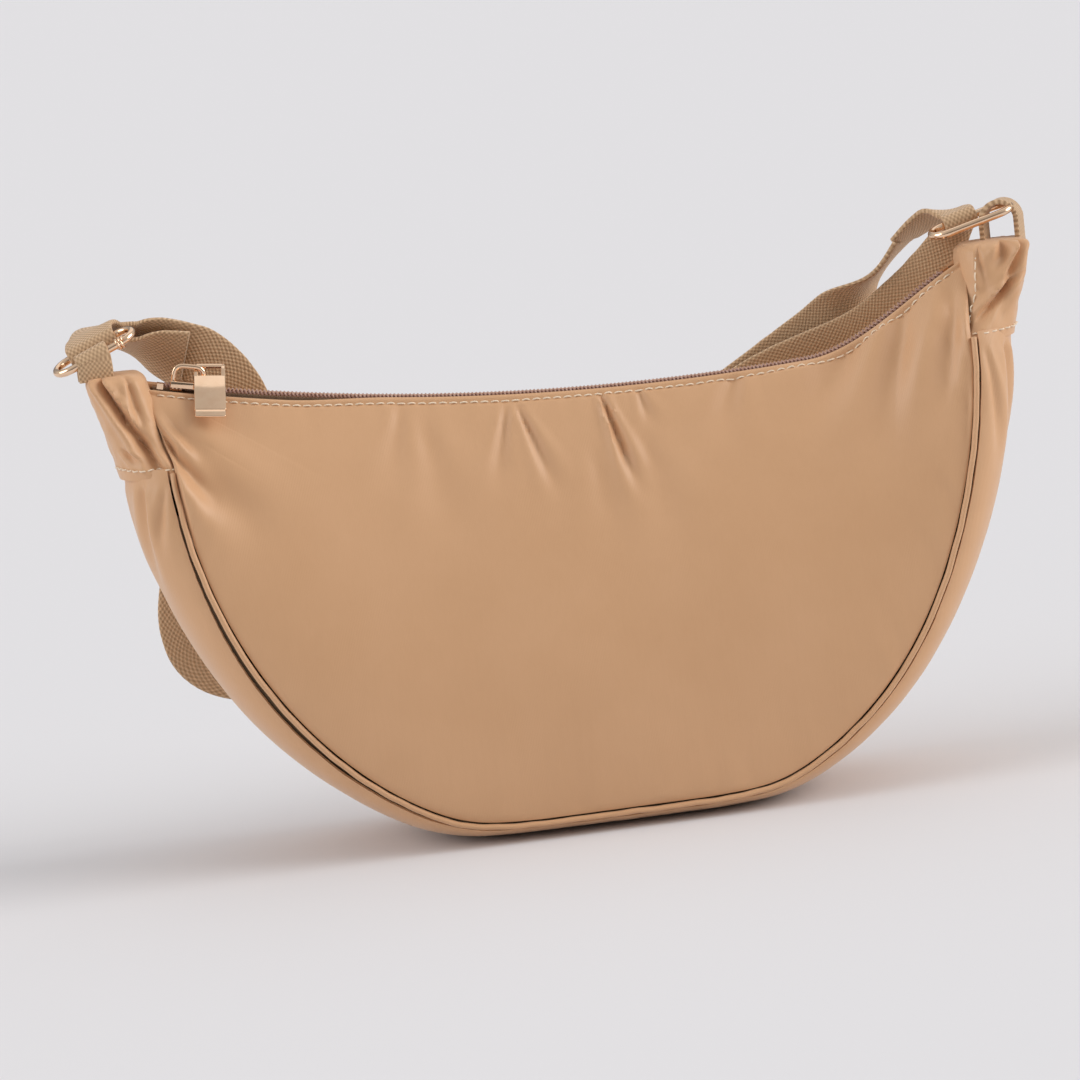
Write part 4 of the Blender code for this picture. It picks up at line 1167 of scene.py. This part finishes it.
def tabSurface(side, u, w):
    # a point of a tab's folded cloth, in bag millimetres
    v = tabValues
    top, folds, seed = tabFolds[side]
    hem = v["hemShare"]
    share = max(0.0, min(1.0, (w - hem) / (1 - hem)))
    p, out = tabSection(side, share, top, 2 * math.pi * u)
    inner, outer, z = tabSpan(side, share, top)
    middle = Vector((side * (inner + outer) / 2, 0, z))
    if w == 1:
        return middle
    if w == 0:
        return middle + Vector((0, 0, v["footRise"]))
    closing = min((1 - w) / v["closeShare"], 1)
    closing = v["closeLow"] + (1 - v["closeLow"]) * math.sqrt(max(0, 1 - (1 - closing) ** 2))
    lift = v["wave"] * softNoise(p.x + seed, p.y, p.z, v["waveScale"])
    lift += v["pucker"] * softNoise(p.x, p.y + seed, p.z, v["puckerScale"])
    if out.y < v["frontFrom"]:
        lift -= creaseDepth(p.x, p.z, folds) * min(1, abs(out.y) * v["frontSlope"])
    else:
        lift -= v["backShare"] * creaseDepth(p.x, p.z, folds[:1]) * out.y
    lift = lift * min(1, w / v["calmShare"]) + v["outset"]
    if w < hem:
        lift -= v["hemTuck"]
    return middle + (p - middle) * closing + out * lift


def makeTab(key, side):
    v = tabValues
    tab = makeGrid(key + "TabCloth", v["columns"], v["rows"], lambda u, w: framed(tabSurface(side, u, w)))
    weld(tab)
    smoothShade(tab, clothAngle)
    keep(tab, "bag", nylon, "nylon", key + "_tab")


makeTab("left", -1)
makeTab("right", 1)
print("tabs made")


# Slider, pull and adjuster

sliderValues = {
    "x": -131, "length": 12, "halfWidth": 3.3, "top": 1.9, "plate": 0.9, "underTop": -2.05, "postHalf": 0.3,
    "postSink": 0.5, "postBevel": 0.1, "flange": 0.5, "flangeFoot": -0.4, "flangeDrop": 0.2,
    "flangeBevel": 0.15, "bridgeHalf": 5.2, "bridgeHeight": 6.2, "bridgeWire": 0.65, "bridgeSink": 0.3,
    "bridgeTurns": 24, "bridgeAround": 10, "bridgeFlat": 1.3, "bevel": 0.4}
pullValues = {
    "width": 10.8, "length": 26, "thickness": 1.25, "leftReach": 3, "eyeLength": 4.4, "eyeSide": 1.4,
    "endBar": 1.5, "overlap": 0.6, "lip": 3.2, "lipOverlap": 0.2, "lipInset": 0.15, "lipThin": 0.7,
    "legInset": 0.6, "axisHeight": 3.7, "hang": 37, "tilt": 7, "bevel": 0.28}
bevelSteps = 3


def sliderPlace():
    v = sliderValues
    angle = math.asin((v["x"] - body["trackCentre"]) / body["trackRadius"])
    return Matrix.Translation((v["x"], 0, zipHeight(v["x"]))) @ Matrix.Rotation(-angle, 4, "Y")


def addBlock(name, low, high, place, bevel):
    # a bevelled block between two corners, placed by a matrix in bag millimetres
    deselectAll()
    bpy.ops.mesh.primitive_cube_add(size=1)
    obj = bpy.context.object
    obj.name = name
    size = [b - a for a, b in zip(low, high)]
    middle = [(a + b) / 2 for a, b in zip(low, high)]
    editMesh(obj, lambda: bpy.ops.transform.resize(value=size),
             lambda: bpy.ops.transform.translate(value=middle))
    rounding = obj.modifiers.new("round", "BEVEL")
    rounding.width = bevel
    rounding.segments = bevelSteps
    applyAll(obj)
    obj.data.transform(Matrix.Translation(bagShift) @ Matrix.Scale(mm, 4) @ place)
    smoothShade(obj, hardAngle)
    return obj


def makeSlider(v):
    place = sliderPlace()
    half, wide, top, under = v["length"] / 2, v["halfWidth"], v["top"], v["underTop"]
    post, sink = v["postHalf"], v["postSink"]
    blocks = [((-half, -wide, top - v["plate"]), (half, wide, top), v["bevel"]),
              ((-half, -wide, under - v["plate"]), (half, wide, under), v["bevel"]),
              ((-half, -post, under - sink), (-half / 3, post, top - sink), v["postBevel"])]
    for side in (-1, 1):
        low, high = sorted((side * wide, side * (wide - v["flange"])))
        blocks.append(((-half, low, v["flangeFoot"]), (half, high, top - v["flangeDrop"]), v["flangeBevel"]))
    pieces = [addBlock("sliderPart", low, high, place, bevel) for low, high, bevel in blocks]
    line = []
    for k in range(v["bridgeTurns"] + 1):
        a = math.pi * k / v["bridgeTurns"]
        x = -v["bridgeHalf"] * math.copysign(abs(math.cos(a)) ** 0.5, math.cos(a))
        z = top - v["bridgeSink"] + (v["bridgeHeight"] - v["bridgeWire"]) * math.sin(a) ** 0.5
        line.append(framed(place @ Vector((x, 0, z))))
    pieces.append(makeTube("sliderBridge", line, v["bridgeWire"] * mm, Vector((0, 1, 0)), v["bridgeAround"],
                           False, v["bridgeFlat"]))
    keep(joinInto("sliderBody", pieces), "slider", gold, "rose_gold", "zip_slider")


def makePull(v):
    s = sliderValues
    leg = sliderPlace() @ Vector((s["bridgeHalf"] - v["legInset"], 0, s["top"] + v["axisHeight"]))
    lean = Matrix.Rotation(math.radians(v["tilt"]), 4, "Y")
    hang = Matrix.Rotation(math.radians(v["hang"]), 4, "X")
    place = Matrix.Translation(leg) @ lean @ hang @ Matrix.Rotation(math.pi, 4, "X")
    half, eye = v["thickness"] / 2, v["eyeLength"] / 2
    left, top = -v["leftReach"], -(eye + v["endBar"])
    right, bottom = left + v["width"], top + v["length"]
    side, foot, thin = v["eyeSide"], eye + v["overlap"], half * v["lipThin"]
    lip, inset = bottom - v["lip"], v["lipInset"]
    bars = [((left, top, -half), (right, -eye, half)), ((left, top, -half), (left + side, foot, half)),
            ((right - side, top, -half), (right, foot, half)), ((left, eye, -half), (right, lip, half)),
            ((left + inset, lip - v["lipOverlap"], -thin), (right - inset, bottom, thin))]
    pieces = [addBlock("pullPlate", a, b, place, v["bevel"]) for a, b in bars]
    keep(joinInto("pullTag", pieces), "pull", gold, "rose_gold", "zip_pull")


adjusterValues = {"wall": 2.6, "thickness": 2.4, "inside": 26.5, "slot": 7.5, "bevel": 0.5}


def makeAdjuster(v):
    wall, half = v["wall"], v["thickness"] / 2
    wide, tall = v["slot"] + 1.5 * wall, v["inside"] / 2 + wall
    bars = []
    for x in (-wide + wall / 2, 0, wide - wall / 2):
        bars.append(((x - wall / 2, -tall, -half), (x + wall / 2, tall, half)))
    for low in (-tall, tall - wall):
        bars.append(((-wide, low, -half), (wide, low + wall, half)))
    pieces = [addBlock("adjusterBar", a, b, adjusterPlace(), v["bevel"]) for a, b in bars]
    keep(joinInto("adjusterFrame", pieces), "adjuster", gold, "rose_gold", "strap_adjuster")


makeSlider(sliderValues)
makePull(pullValues)
makeAdjuster(adjusterValues)
for nodeName in ("zip_top_stop", "zip_bottom_stop"):
    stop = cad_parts[nodeName]
    stop.data.materials.clear()
    stop.data.materials.append(gold)
print("metal made")


# Stitches along the hems and across the tabs

stitchValues = {
    "pitch": 3.6, "radius": 0.28, "around": 6, "height": 0.5, "rise": 0.1, "over": 0.6, "steps": 6,
    "hemPoints": 300, "hemEnd": 0.02, "hemStep": 0.004, "fallStep": 0.01, "deepest": 0.5, "tabPoints": 40,
    "tabStep": 0.01}
stitchRuns = [
    # side, then the height shares and the angles in turns of both ends
    (-1, (0.15, 0.53), (0.11, 0.84)), (1, (0.13, 0.97), (0.11, 0.70)), (1, (0.13, 0.67), (0.86, 0.665))]


def stitchTube(name, points, outs):
    # a running thread: over the cloth for each stitch, under it between two
    v = stitchValues
    path = []
    total = sum((points[i + 1] - points[i]).length for i in range(len(points) - 1))
    count = max(2, round(total / v["pitch"])) * v["steps"]
    for n in range(count + 1):
        goal = total * n / count
        seen, i = 0, 0
        while i < len(points) - 2 and seen + (points[i + 1] - points[i]).length < goal:
            seen += (points[i + 1] - points[i]).length
            i += 1
        span = (points[i + 1] - points[i]).length
        share = (goal - seen) / span if span > 0 else 0
        out = outs[i].lerp(outs[i + 1], share).normalized()
        phase = (n % v["steps"]) / v["steps"]
        arch = math.sin(math.pi * phase / v["over"]) if phase < v["over"] else -1
        path.append(framed(points[i].lerp(points[i + 1], share) + out * v["height"] * arch))
    return makeTube(name, path, v["radius"] * mm, Vector((0, -1, 0.2)), v["around"])


def facing(surface, u, w, stepU, stepW, wanted):
    # the direction out of a surface at a point, on the wanted side
    across = surface(u + stepU, w) - surface(u - stepU, w)
    out = across.cross(surface(u, w + stepW) - surface(u, w - stepW)).normalized()
    return out if out.dot(wanted) > 0 else -out


def hemStitch(side):
    v = stitchValues
    rows, outs = [], []
    for i in range(v["hemPoints"] + 1):
        u = v["hemEnd"] + (1 - 2 * v["hemEnd"]) * i / v["hemPoints"]
        down = min(stitchFromHem / panelEnd(u, side)[1], v["deepest"])
        outs.append(facing(lambda a, b: panelSurface(a, b, side, 0), u, down, v["hemStep"], v["fallStep"],
                           Vector((0, side, 0))))
        rows.append(panelSurface(u, down, side, -v["rise"]))
    return stitchTube("hemStitch", rows, outs)


def tabStitch(side, first, last):
    # a run of stitches over a tab's front, from one height share and angle in turns to another
    v = stitchValues
    rows, outs = [], []
    for n in range(v["tabPoints"] + 1):
        w = first[0] + (last[0] - first[0]) * n / v["tabPoints"]
        turn = first[1] + (last[1] - first[1]) * n / v["tabPoints"]
        plain = tabSection(side, w, tabFolds[side][0], 2 * math.pi * turn)[1]
        outs.append(facing(lambda a, b: tabSurface(side, a, b), turn, w, v["tabStep"], v["tabStep"], plain))
        rows.append(tabSurface(side, turn, w) + outs[-1] * v["rise"])
    return stitchTube("tabStitch", rows, outs)


keep(joinInto("hemStitches", [hemStitch(side) for side in (-1, 1)]), "bag", thread, "nylon")
keep(joinInto("tabStitches", [tabStitch(*run) for run in stitchRuns]), "bag", thread, "nylon")
print("stitches made")
